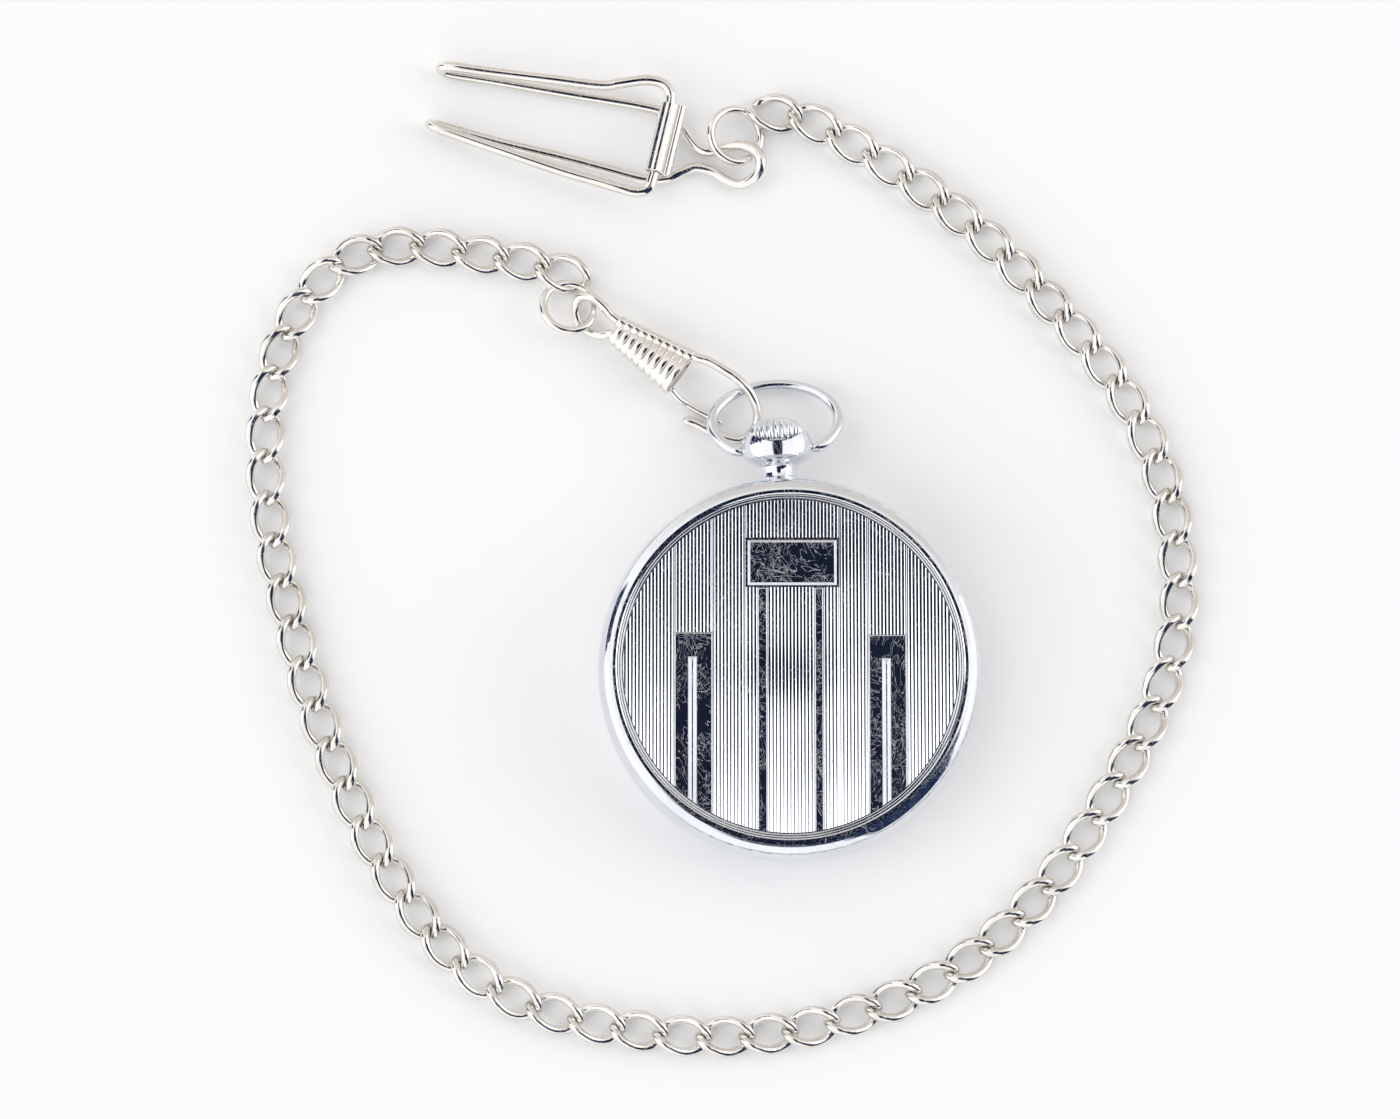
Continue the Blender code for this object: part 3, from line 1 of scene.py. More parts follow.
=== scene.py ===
# %% [markdown]
# # A pocket watch on its face, with its curb chain and belt clip
#
# The watch lies on its crystal, so the camera sees the chromed back with its
# engraved lines. A bow joins it to a snap hook, a curb chain runs round the
# case, and a bent wire clip holds the far end. Everything here is in metres,
# and most dimensions are written in millimetres and scaled by MM.

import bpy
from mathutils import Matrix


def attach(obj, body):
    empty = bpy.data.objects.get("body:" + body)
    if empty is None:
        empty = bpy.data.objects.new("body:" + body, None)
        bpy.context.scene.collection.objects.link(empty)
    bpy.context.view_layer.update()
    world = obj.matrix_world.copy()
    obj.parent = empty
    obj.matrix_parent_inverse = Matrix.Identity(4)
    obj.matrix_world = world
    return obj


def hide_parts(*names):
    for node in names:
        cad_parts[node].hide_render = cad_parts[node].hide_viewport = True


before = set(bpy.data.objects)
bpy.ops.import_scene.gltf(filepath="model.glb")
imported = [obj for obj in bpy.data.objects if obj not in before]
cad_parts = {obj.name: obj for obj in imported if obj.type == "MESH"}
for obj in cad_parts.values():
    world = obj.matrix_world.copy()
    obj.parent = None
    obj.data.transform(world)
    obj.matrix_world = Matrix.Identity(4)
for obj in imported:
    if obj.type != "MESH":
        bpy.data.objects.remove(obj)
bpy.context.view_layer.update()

# %% Blender's modules and the unit
import math
import random

import bmesh
import bpy
from mathutils import Matrix, Vector, noise

MM = 0.001
FULL_TURN = 2 * math.pi
scene = bpy.context.scene
random.seed(63)

# %% [markdown]
# ## The camera
#
# The view is from almost straight above, tilted a little, with a long lens so
# that circles stay nearly round. The camera comes first.

# %% The camera
CAMERA_AT = (-14.336 * MM, -69.759 * MM, 599.161 * MM)
VIEW_TURN = math.radians(3.1)
CAMERA_TILT = math.radians(8.0)
LENS = 131.3
SENSOR_WIDTH = 36
FARTHEST_SEEN = 20

up_table = Vector((math.sin(VIEW_TURN), math.cos(VIEW_TURN), 0))
camera_right = Vector((math.cos(VIEW_TURN), -math.sin(VIEW_TURN), 0))
camera_back = up_table * -math.sin(CAMERA_TILT) + Vector((0, 0, math.cos(CAMERA_TILT)))
camera_up = camera_back.cross(camera_right)

camera_data = bpy.data.cameras.new("camera")
camera = bpy.data.objects.new("camera", camera_data)
scene.collection.objects.link(camera)
camera_data.lens = LENS
camera_data.sensor_width = SENSOR_WIDTH
camera_data.clip_end = FARTHEST_SEEN
turned = Matrix((camera_right, camera_up, camera_back)).transposed().to_4x4()
camera.matrix_world = Matrix.Translation(CAMERA_AT) @ turned
scene.camera = camera
print("camera at", [round(v, 3) for v in CAMERA_AT])

# %% [markdown]
# ## Helpers for smooth wires
#
# The hook, the clip, the bow and the chain's own line are all smooth paths
# through a few known points. A Catmull-Rom curve passes through every point,
# so it keeps each bend where it was set. Points are then spaced evenly,
# so that the tube round them has even rings.

# %% Smooth paths through points
def smooth_route(points, spacing, closed=False, samples=24):
    """Evenly spaced points on a Catmull-Rom curve through the given ones."""
    knots = [Vector(p) for p in points]
    spans = len(knots) if closed else len(knots) - 1
    if closed:
        knots = [knots[-1]] + knots + knots[:2]
    else:
        knots = [2 * knots[0] - knots[1]] + knots + [2 * knots[-1] - knots[-2]]
    fine = []
    for k in range(spans):
        a, b, c, d = knots[k:k + 4]
        for step in range(samples):
            t = step / samples
            fine.append(
                0.5 * (2 * b + (c - a) * t + (2 * a - 5 * b + 4 * c - d) * t * t
                       + (3 * b - a - 3 * c + d) * t ** 3)
            )
    fine.append(knots[1].copy() if closed else knots[-2].copy())
    reach = [0.0]
    for a, b in zip(fine, fine[1:]):
        reach.append(reach[-1] + (b - a).length)
    count = max(2, round(reach[-1] / spacing))
    even = []
    k = 0
    for n in range(count + 1):
        want = reach[-1] * n / count
        while k < len(reach) - 2 and reach[k + 1] < want:
            k += 1
        share = (want - reach[k]) / max(reach[k + 1] - reach[k], 1e-12)
        even.append(fine[k].lerp(fine[k + 1], share))
    return even[:-1] if closed else even


def route_length(points):
    return sum((b - a).length for a, b in zip(points, points[1:]))


def in_metres(points):
    return [Vector(p) * MM for p in points]

# %% Select, join and cut
def select_only(pieces):
    """Select these objects and nothing else, with the first one active."""
    bpy.ops.object.select_all(action="DESELECT")
    for piece in pieces:
        piece.select_set(True)
    bpy.context.view_layer.objects.active = pieces[0]


def join_into(main, others):
    """Join the others into the main object."""
    select_only([main] + others)
    bpy.ops.object.join()


def cut_with(made, cutter, operation):
    """Apply one exact Boolean and remove its cutter."""
    step = made.modifiers.new("cut", "BOOLEAN")
    step.operation = operation
    step.solver = "EXACT"
    step.object = cutter
    bpy.context.view_layer.objects.active = made
    bpy.ops.object.modifier_apply(modifier=step.name)
    bpy.data.objects.remove(cutter)


def round_bar(radius, length, at, turn=(0, 0, 0), sides=64):
    """A cylinder sized and placed in mm, used as a cutter."""
    bpy.ops.object.select_all(action="DESELECT")
    bpy.ops.mesh.primitive_cylinder_add(vertices=sides, radius=radius * MM, depth=length * MM,
                                        location=Vector(at) * MM, rotation=turn)
    return bpy.context.object


def set_material(obj, finish):
    obj.data.materials.clear()
    obj.data.materials.append(finish)

# %% Nodes for the materials
def add_node(tree, kind, **inputs):
    """A new node with its named inputs set."""
    node = tree.nodes.new(kind)
    for name, value in inputs.items():
        node.inputs[name.replace("_", " ")].default_value = value
    return node


def math_node(tree, operation, *values):
    """A Math node whose inputs are numbers or other nodes' outputs."""
    node = tree.nodes.new("ShaderNodeMath")
    node.operation = operation
    for socket, value in zip(node.inputs, values):
        if isinstance(value, (int, float)):
            socket.default_value = value
        else:
            tree.links.new(value, socket)
    return node.outputs[0]


def two_tones(tree, factor, colour, shade):
    """A colour that moves from one tone to the other with the factor."""
    tone = tree.nodes.new("ShaderNodeMix")
    tone.data_type = "RGBA"
    tone.inputs["A"].default_value = (*colour, 1)
    tone.inputs["B"].default_value = (*shade, 1)
    tree.links.new(factor, tone.inputs["Factor"])
    return tone.outputs["Result"]


def noise_at(tree, where, **inputs):
    """A noise texture read at the given coordinates."""
    texture = add_node(tree, "ShaderNodeTexNoise", **inputs)
    tree.links.new(where, texture.inputs["Vector"])
    return texture.outputs["Fac"]


def blank_finish(name):
    """A new node material, its tree, its shader and its object coordinates."""
    finish = bpy.data.materials.new(name)
    finish.use_nodes = True
    tree = finish.node_tree
    where = tree.nodes.new("ShaderNodeTexCoord").outputs["Object"]
    return finish, tree, tree.nodes["Principled BSDF"], where

# %% [markdown]
# ## Floor and studio light
#
# Polished metal shows its surroundings, so the studio is half of the finish.
# The floor is a plain pale sheet. White light comes from all the sides and
# the sky straight overhead is dark, as it is in a tent with a hole for the
# lens. Flat faces then mirror the dark hole and look blue-black, and every
# sloped or rounded face catches the white walls.

# %% The floor
FLOOR_HALF = 3.0
PAPER_LOW = (0.93, 0.93, 0.932)
PAPER_HIGH = (0.95, 0.95, 0.951)
# The sheet is lit a little from below, so its shadows stay faint.
PAPER_GLOW = 0.13

bpy.ops.object.select_all(action="DESELECT")
bpy.ops.mesh.primitive_plane_add(size=2 * FLOOR_HALF, location=(0, 0, 0))
floor = bpy.context.object
floor.name = "floor"
floor_paper, tree, paper, where = blank_finish("pale_paper")
paper.inputs["Roughness"].default_value = 0.9
paper.inputs["Specular IOR Level"].default_value = 0.15
paper.inputs["Emission Color"].default_value = (1, 1, 1, 1)
paper.inputs["Emission Strength"].default_value = PAPER_GLOW
cloud = noise_at(tree, where, Scale=6)
tree.links.new(two_tones(tree, cloud, PAPER_LOW, PAPER_HIGH), paper.inputs["Base Color"])
floor.data.materials.append(floor_paper)
print("floor", 2 * FLOOR_HALF, "m wide")

# %% The tent's walls and the dark hole overhead
tent = bpy.data.worlds.new("studio_tent")
scene.world = tent
tent.use_nodes = True
nodes = tent.node_tree.nodes
links = tent.node_tree.links
glow = nodes["Background"]
glow.inputs["Strength"].default_value = 1.0
direction = nodes.new("ShaderNodeTexCoord").outputs["Generated"]


def tent_patch(colour_below, aim, edge, core, shade, amount=1.0):
    """Paint a soft round patch on the tent where the direction is near the aim."""
    toward = nodes.new("ShaderNodeVectorMath")
    toward.operation = "DOT_PRODUCT"
    toward.inputs[1].default_value = Vector(aim).normalized()
    links.new(direction, toward.inputs[0])
    spread = nodes.new("ShaderNodeMapRange")
    spread.interpolation_type = "SMOOTHSTEP"
    spread.inputs["From Min"].default_value = math.cos(math.radians(edge))
    spread.inputs["From Max"].default_value = math.cos(math.radians(core))
    spread.inputs["To Max"].default_value = amount
    links.new(toward.outputs["Value"], spread.inputs["Value"])
    blend = nodes.new("ShaderNodeMix")
    blend.data_type = "RGBA"
    links.new(spread.outputs["Result"], blend.inputs["Factor"])
    if isinstance(colour_below, tuple):
        blend.inputs["A"].default_value = colour_below
    else:
        links.new(colour_below, blend.inputs["A"])
    blend.inputs["B"].default_value = shade
    return blend.outputs["Result"]


# Colours of the tent, and where its dark patches are: a bearing, heights and a width,
# all in degrees, then tilts from straight up towards the crown.
WALL = (1.2, 1.2, 1.2, 1)
WARM_GREY = (0.78, 0.73, 0.69, 1)
HOLE = (0.012, 0.018, 0.036, 1)
DUSK = (0.02, 0.035, 0.085, 1)
SIDE_PATCHES = ((-46, (6, 24, 42, 60), 21), (156, (4, 18, 32), 13))
OVERHEAD_PATCHES = ((-24, 15, 8, DUSK, 0.9), (-9, 15, 10, HOLE, 1.0), (7, 16, 11, HOLE, 1.0))


def overhead(tilt):
    """A direction tilted from straight up, in degrees towards the crown."""
    lean = math.radians(tilt)
    return up_table * math.sin(lean) + Vector((0, 0, math.cos(lean)))


glow_colour = tent_patch(WALL, up_table + Vector((0.25, 0, 0.35)), 62, 20, WARM_GREY)
for bearing, heights, edge in SIDE_PATCHES:
    for height in heights:
        aim = Vector((math.cos(math.radians(bearing)), math.sin(math.radians(bearing)),
                      math.tan(math.radians(height))))
        glow_colour = tent_patch(glow_colour, aim, edge, 0.75 * edge, DUSK)
for tilt, edge, core, shade, amount in OVERHEAD_PATCHES:
    glow_colour = tent_patch(glow_colour, overhead(tilt), edge, core, shade, amount)
links.new(glow_colour, glow.inputs["Color"])
print("tent nodes:", len(nodes))

# %% Soft boxes
def soft_box(name, at, aim, width, depth, watts):
    """A rectangular area light that faces the point it is aimed at."""
    data = bpy.data.lights.new(name, "AREA")
    data.shape = "RECTANGLE"
    data.size = width
    data.size_y = depth
    data.energy = watts
    light = bpy.data.objects.new(name, data)
    scene.collection.objects.link(light)
    light.location = at
    light.rotation_euler = (Vector(aim) - Vector(at)).to_track_quat("-Z", "Y").to_euler()


soft_box("box_left", (-1.1, -0.1, 0.6), (0, 0, 0), 0.9, 0.6, 2.0)
soft_box("box_right", (1.1, 0.1, 0.6), (0, 0, 0), 0.8, 0.5, 1.6)
scene.view_settings.view_transform = "Standard"

# %% [markdown]
# ## Metal finishes
#
# Chrome and nickel are fully metallic, and what tells them apart is colour
# and wear. Each finish here starts from one recipe: a colour that drifts a
# little, a roughness that drifts more, hair-fine scratches in four
# directions, and small pits. A scratch is the thin line where a stretched
# noise crosses its middle value, which gives strokes of uneven length.

# %% The recipe for worn metal
SCRATCH_TURNS = (0.5, 1.35, 2.3, 3.0)
SCRATCH_ROUGHNESS = 0.3
# Depths in metres. A scratch is shallow, or the metal round it would seem to tilt.
SCRATCH_DEPTH = 0.000006
WAVE_DEPTH = 0.0002


def hair_scratches(tree, where, turn, seed, density, thin):
    """A mask of thin strokes that run along one direction."""
    mapping = tree.nodes.new("ShaderNodeMapping")
    mapping.vector_type = "TEXTURE"
    mapping.inputs["Rotation"].default_value = (0.2, 0.3, turn)
    mapping.inputs["Location"].default_value = (seed, 0.37 * seed, 0.11 * seed)
    mapping.inputs["Scale"].default_value = (1 / density, 8 / density, 1 / density)
    tree.links.new(where, mapping.inputs["Vector"])
    strokes = noise_at(tree, mapping.outputs["Vector"], Scale=1.0, Detail=1.0, Distortion=0.6)
    off_middle = math_node(tree, "ABSOLUTE", math_node(tree, "SUBTRACT", strokes, 0.5))
    line = math_node(tree, "LESS_THAN", off_middle, thin)
    patch = noise_at(tree, where, Scale=0.12 * density, Detail=2.0)
    kept = math_node(tree, "GREATER_THAN", patch, 0.5)
    return math_node(tree, "MULTIPLY", line, kept)


def worn_metal(name, colour, tarnish, roughness, scratches=1500, thin=0.004, wear=0.5,
               pits=0.3, cloud_scale=120, bump=0.15):
    """Polished metal with a drifting tone, hair scratches and small pits."""
    finish, tree, shader, where = blank_finish(name)
    shader.inputs["Metallic"].default_value = 1.0

    cloud = noise_at(tree, where, Scale=cloud_scale, Detail=5.0, Roughness=0.6)
    drift = tree.nodes.new("ShaderNodeMapRange")
    drift.inputs["From Min"].default_value = 0.42
    drift.inputs["From Max"].default_value = 0.72
    tree.links.new(cloud, drift.inputs["Value"])
    strength = math_node(tree, "MULTIPLY", drift.outputs["Result"], wear)
    tree.links.new(two_tones(tree, strength, colour, tarnish), shader.inputs["Base Color"])

    mask = None
    for k, turn in enumerate(SCRATCH_TURNS):
        line = hair_scratches(tree, where, turn, 3.1 * k + 1, scratches * (1 + 0.3 * k), thin)
        mask = line if mask is None else math_node(tree, "MAXIMUM", mask, line)
    spots = tree.nodes.new("ShaderNodeTexVoronoi")
    spots.inputs["Scale"].default_value = 5 * cloud_scale
    tree.links.new(where, spots.inputs["Vector"])
    pit = math_node(tree, "LESS_THAN", spots.outputs["Distance"], 0.12 * pits)

    rough = math_node(tree, "MULTIPLY_ADD", cloud, 0.8 * roughness, 0.55 * roughness)
    rougher = math_node(tree, "MULTIPLY_ADD", mask, SCRATCH_ROUGHNESS, rough)
    tree.links.new(rougher, shader.inputs["Roughness"])

    relief = math_node(tree, "MAXIMUM", mask, pit)
    dent = add_node(tree, "ShaderNodeBump", Strength=bump, Distance=SCRATCH_DEPTH)
    dent.invert = True
    tree.links.new(relief, dent.inputs["Height"])
    soft = add_node(tree, "ShaderNodeBump", Strength=0.06, Distance=WAVE_DEPTH)
    tree.links.new(noise_at(tree, where, Scale=0.5 * cloud_scale, Detail=2.0),
                   soft.inputs["Height"])
    tree.links.new(soft.outputs["Normal"], dent.inputs["Normal"])
    tree.links.new(dent.outputs["Normal"], shader.inputs["Normal"])
    return finish


chain_nickel = worn_metal("chain_nickel", (0.82, 0.80, 0.765), (0.56, 0.52, 0.46), 0.07,
                          wear=0.5)
print("finish:", chain_nickel.name, "with", len(chain_nickel.node_tree.nodes), "nodes")

# %% [markdown]
# ## The curb chain
#
# Each link of a curb chain is an oval ring of wire, twisted so that it lies
# flat against its neighbours. One link starts as a torus, whose rings are
# then carried onto the twisted oval. Sixty-three copies follow the chain's
# line, all twisted the same way round, and each end passes through the next
# link's eye. The line itself goes round the case like a horseshoe.

# %% The chain's line
CHAIN_Z = 1.28
CHAIN_XY = [
    (-24.25, 49.45), (-28.4, 50.9), (-35.4, 52.5), (-42.4, 53.7), (-49.4, 52.6), (-54.7, 48.2),
    (-58.2, 41.9), (-60.1, 34.9), (-60.6, 27.7), (-60.2, 20.6), (-59.1, 13.5), (-57.7, 6.5),
    (-56.1, -0.5), (-53.9, -7.2), (-51.4, -13.9), (-48.4, -20.3), (-44.8, -26.3),
    (-40.3, -31.8), (-34.8, -36.0), (-28.3, -38.8), (-21.5, -40.6), (-14.6, -41.8),
    (-7.6, -42.2), (-0.7, -41.7), (6.2, -40.2), (12.9, -38.0), (19.1, -34.8), (24.7, -30.6),
    (29.8, -25.6), (34.2, -20.1), (38.2, -14.3), (41.8, -8.2), (44.7, -1.6), (46.4, 5.2),
    (46.6, 12.4), (45.8, 19.5), (43.8, 26.4), (40.7, 32.8), (36.7, 38.7), (32.2, 44.3),
    (27.5, 49.8), (22.3, 54.8), (16.8, 59.3), (11.0, 63.4), (6.0, 66.45),
    (2.05, 67.55),
]
chain_line = smooth_route(in_metres([(x, y, CHAIN_Z) for x, y in CHAIN_XY]), 0.25 * MM)
chain_length = route_length(chain_line)
print("chain between its end links:", round(chain_length, 4), "m")

# %% One twisted link
LINK_COUNT = 63
LINK_WIRE = 0.57 * MM
LINK_HALF_WIDTH = 1.93 * MM
LINK_TWIST = math.radians(45)
LINK_RINGS = 30
LINK_SIDES = 10
TORUS_RADIUS = 3.0
link_pitch = chain_length / (LINK_COUNT - 1)
link_half_length = 0.5 * link_pitch + LINK_WIRE


def link_centre(turn):
    """A point on the twisted oval that the link's wire follows."""
    across = LINK_HALF_WIDTH * math.sin(turn)
    roll = LINK_TWIST * math.cos(turn)
    return Vector((
        link_half_length * math.cos(turn), across * math.cos(roll), across * math.sin(roll),
    ))


def twist_link(mesh):
    """Carry a torus onto the twisted oval, ring by ring."""
    for vertex in mesh.vertices:
        x, y, z = vertex.co
        turn = math.atan2(y, x)
        out = math.hypot(x, y) - TORUS_RADIUS
        here = link_centre(turn)
        along = (link_centre(turn + 0.01) - link_centre(turn - 0.01)).normalized()
        roll = LINK_TWIST * math.cos(turn)
        face = Vector((0, -math.sin(roll), math.cos(roll)))
        side = along.cross(face).normalized()
        face = side.cross(along)
        vertex.co = here + side * out * LINK_WIRE + face * z * LINK_WIRE


bpy.ops.object.select_all(action="DESELECT")
bpy.ops.mesh.primitive_torus_add(
    major_segments=LINK_RINGS, minor_segments=LINK_SIDES, major_radius=TORUS_RADIUS,
    minor_radius=1.0, location=(0, 0, 0),
)
link = bpy.context.object
twist_link(link.data)
link_size = [round(v / MM, 2) for v in link.dimensions]
print("one link, mm:", link_size, "pitch", round(link_pitch / MM, 3))

# %% Sixty-three links along the line
LINK_TREMBLE = math.radians(4)
OVERLOOK = 4


def link_place(share):
    """Where a link lies along the chain's line, lengthways and level."""
    at = share * (len(chain_line) - 1)
    k = min(int(at), len(chain_line) - 2)
    middle = chain_line[k].lerp(chain_line[k + 1], at - k)
    ahead = chain_line[min(k + OVERLOOK, len(chain_line) - 1)]
    behind = chain_line[max(k - OVERLOOK, 0)]
    along = (ahead - behind).normalized()
    across = Vector((0, 0, 1)).cross(along).normalized()
    turned = Matrix((along, across, along.cross(across))).transposed().to_4x4()
    return Matrix.Translation(middle) @ turned


links_made = []
for n in range(LINK_COUNT):
    copy = link.copy()
    copy.data = link.data.copy()
    scene.collection.objects.link(copy)
    tremble = Matrix.Rotation(random.uniform(-1, 1) * LINK_TREMBLE, 4, "X")
    copy.data.transform(link_place(n / (LINK_COUNT - 1)) @ tremble)
    links_made.append(copy)
bpy.data.objects.remove(link)

join_into(links_made[0], links_made[1:])
chain = bpy.context.object
chain.name = "curb_chain"
bpy.ops.object.shade_smooth()
set_material(chain, chain_nickel)
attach(chain, "chain_set")
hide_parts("chain")
print("chain:", LINK_COUNT, "links,", len(chain.data.polygons), "faces")

# %% A path along the chain
# The path runs on half a link past both end links, into their rings.
PATH_EVERY = 8
first_way = (chain_line[0] - chain_line[OVERLOOK]).normalized()
last_way = (chain_line[-1] - chain_line[-1 - OVERLOOK]).normalized()
half_link = link_half_length - LINK_WIRE
chain_path = [chain_line[0] + first_way * half_link] + chain_line[::PATH_EVERY]
chain_path.append(chain_line[-1] + last_way * half_link)
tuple(chain_path[0])
route_length(chain_path)
print("cord length", round(route_length(chain_path), 4), "m")

# %% [markdown]
# ## Bent wire: a sheet rolled round a line
#
# Most of the hardware is one bent wire after another. Each starts as a flat
# grid. Its columns are carried onto rings round a line, the seam is merged
# and the ends are closed. The rings are turned as little as possible from
# one to the next, so that the wire doesn't twist along its length.

# %% Roll a grid round an axis
def edit_all(obj):
    """Select only this object and all of its mesh, in edit mode."""
    select_only([obj])
    bpy.ops.object.mode_set(mode="EDIT")
    bpy.ops.mesh.select_all(action="SELECT")


def rolled_sheet(name, rings, sides, place, finish, smooth=35):
    """A grid whose columns become rings; place(ring, side) says where each corner goes."""
    bpy.ops.object.select_all(action="DESELECT")
    bpy.ops.mesh.primitive_grid_add(x_subdivisions=rings - 1, y_subdivisions=sides, size=1,
                                    location=(0, 0, 0))
    obj = bpy.context.object
    obj.name = name
    for vertex in obj.data.vertices:
        ring = round((vertex.co.x + 0.5) * (rings - 1))
        side = round((vertex.co.y + 0.5) * sides) % sides
        vertex.co = place(ring, side)
    edit_all(obj)
    bpy.ops.mesh.remove_doubles(threshold=0.002 * MM)
    bpy.ops.mesh.select_all(action="DESELECT")
    bpy.ops.mesh.select_non_manifold(extend=False, use_wire=False, use_multi_face=False,
                                     use_non_contiguous=False, use_verts=False)
    bpy.ops.mesh.fill_holes(sides=0)
    bpy.ops.mesh.select_all(action="SELECT")
    bpy.ops.mesh.normals_make_consistent(inside=False)
    bpy.ops.object.mode_set(mode="OBJECT")
    bpy.ops.object.shade_smooth_by_angle(angle=math.radians(smooth))
    set_material(obj, finish)
    return obj


def frames_along(line):
    """A side and a top direction at each point, turned as little as possible."""
    frames = []
    top = Vector((0, 0, 1))
    for k in range(len(line)):
        ahead = line[min(k + 1, len(line) - 1)]
        behind = line[max(k - 1, 0)]
        along = (ahead - behind).normalized()
        top = (top - along * top.dot(along)).normalized()
        frames.append((along, along.cross(top), top))
    return frames


def bent_wire(name, line, radius, finish, sides=14, round_ends=True, thin=None):
    """A wire along a line, with rounded or flat ends and an optional change of radius."""
    frames = frames_along(line)
    stations = [(k, 0.0, 1.0) for k in range(len(line))]
    if round_ends:
        dome = [(math.sin(a) * radius, math.cos(a)) for a in (0.4, 0.8, 1.15, 1.45)]
        stations = ([(0, -out, size) for out, size in reversed(dome)] + stations
                    + [(len(line) - 1, out, size) for out, size in dome])

    def place(ring, side):
        k, out, size = stations[ring]
        along, across, top = frames[k]
        reach = radius * size * (thin(k / (len(line) - 1)) if thin else 1.0)
        turn = FULL_TURN * side / sides
        return line[k] + along * out + (across * math.cos(turn) + top * math.sin(turn)) * reach

    return rolled_sheet(name, len(stations), sides, place, finish)


def settle(piece, body, slot, *nodes):
    """Say which body a piece rides on and what it stands for. Its finish, the slot argument, is
    not used.
    """
    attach(piece, body)
    if nodes:
        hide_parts(*nodes)
    print(piece.name, "on", body, "-", len(piece.data.polygons), "faces")


hardware_nickel = worn_metal("hardware_nickel", (0.86, 0.835, 0.80), (0.62, 0.57, 0.51), 0.06,
                             wear=0.4)

# %% [markdown]
# ## The clasp
#
# The snap hook is one bent wire gripped by a ribbed barrel of sheet metal. At
# the narrow end it makes the eye for the jump ring, and at the wide end the
# hook that carries the watch's bow. A thinner sprung wire closes the hook.

# %% Hook, eye and gate
HOOK_WIRE = 0.6 * MM
GATE_WIRE = 0.45 * MM
HOOK_POINTS = [
    (-8.95, 38.05, 3.1), (-7.6, 37.6, 3.15), (-5.9, 36.5, 3.2), (-3.9, 35.0, 3.0),
    (-2.5, 33.0, 2.5), (-2.0, 30.9, 1.55), (-2.7, 29.1, 0.95), (-4.3, 28.2, 0.75),
    (-6.3, 28.7, 0.75), (-8.1, 29.7, 0.75), (-9.4, 30.5, 0.75), (-10.4, 30.9, 0.75),
]
EYE_POINTS = [
    (-18.6, 43.6, 2.7), (-19.6, 44.9, 2.9), (-20.9, 46.0, 2.9), (-22.3, 46.2, 2.2),
    (-23.0, 45.2, 1.3), (-22.7, 43.6, 0.75), (-21.6, 42.3, 0.75), (-20.2, 41.7, 1.1),
    (-19.0, 41.8, 1.6),
]
GATE_POINTS = [
    (-12.0, 34.35, 2.0), (-11.2, 33.4, 1.5), (-9.9, 32.6, 0.95), (-8.3, 31.6, 0.7),
    (-6.6, 30.5, 0.7),
]
WIRE_STEP = 0.3 * MM
BARREL_FROM = Vector((-18.1, 42.2, 2.1)) * MM
BARREL_TO = Vector((-10.9, 36.15, 2.6)) * MM
barrel_way = (BARREL_TO - BARREL_FROM).normalized()

# Both wires run on a little way inside the barrel.
hook_line = smooth_route(in_metres(HOOK_POINTS), WIRE_STEP)
hook_line = [hook_line[0] - barrel_way * 1.2 * MM] + hook_line
settle(bent_wire("hook_wire", hook_line, HOOK_WIRE, hardware_nickel), "chain_set",
       "warm_nickel", "clasp_hook")
eye_line = smooth_route(in_metres(EYE_POINTS), WIRE_STEP)
eye_line = [eye_line[0] + barrel_way * 1.0 * MM] + eye_line + [eye_line[-1] + barrel_way * MM]
settle(bent_wire("eye_wire", eye_line, HOOK_WIRE, hardware_nickel), "chain_set",
       "warm_nickel", "clasp_eye")
gate_line = smooth_route(in_metres(GATE_POINTS), WIRE_STEP)
settle(bent_wire("gate_wire", gate_line, GATE_WIRE, hardware_nickel), "gate", "warm_nickel",
       "clasp_gate")

# %% [markdown]
# ## The ribbed barrel
#
# The barrel is thin sheet rolled round the wires and pressed flat, wider at
# the hook. Its ribs are fine grooves between broad convex bands. A bead
# runs along one edge where the sheet wraps round the wire. The wide mouth is
# open, so its last rings turn inwards and run back inside.

# %% The barrel's two rolled parts
RIB_COUNT = 10
GROOVE_DEPTH = 0.17 * MM
BARREL_SIDES = 40
BARREL_RINGS = 141
BEAD_SIDES = 16
SHEET = 0.32 * MM
BEAD_FROM = Vector((-18.0, 43.05, 2.62)) * MM
BEAD_TO = Vector((-9.35, 38.1, 3.05)) * MM
barrel_side = Vector((0, 0, 1)).cross(barrel_way).normalized()
barrel_top = barrel_way.cross(barrel_side)
if barrel_top.z < 0:
    barrel_top.negate()
if barrel_side.y < 0:
    barrel_side.negate()


def rib(share):
    """How far the ribbed surface lies under its crests."""
    phase = (share * RIB_COUNT) % 1.0
    groove = math.exp(-((2 * abs(phase - 0.5) - 1) / 0.16) ** 2)
    return GROOVE_DEPTH * (groove + 0.22 * (2 * phase - 1) ** 2)


def mix(a, b, share):
    return a + (b - a) * share


def barrel_body(ring, side):
    """The broad pressed part: an oval that grows towards the hook."""
    share, shrink = barrel_stations[ring]
    half = mix(1.75, 2.75, share) * MM - rib(share) - shrink
    thick = mix(1.15, 1.75, share) * MM - rib(share) - shrink
    turn = FULL_TURN * side / BARREL_SIDES
    flat = math.copysign(abs(math.sin(turn)) ** 0.8, math.sin(turn))
    middle = BARREL_FROM.lerp(BARREL_TO, share) - barrel_side * 0.25 * MM
    return middle + barrel_side * half * math.cos(turn) + barrel_top * thick * flat


def barrel_bead(ring, side):
    """The bead along the upper edge, round the wire."""
    share = ring / (BARREL_RINGS - 1)
    reach = mix(0.86, 0.98, share) * MM - 0.9 * rib(share)
    turn = FULL_TURN * side / BEAD_SIDES
    edge = BEAD_FROM.lerp(BEAD_TO, share)
    return edge + (barrel_side * math.cos(turn) + barrel_top * math.sin(turn)) * reach


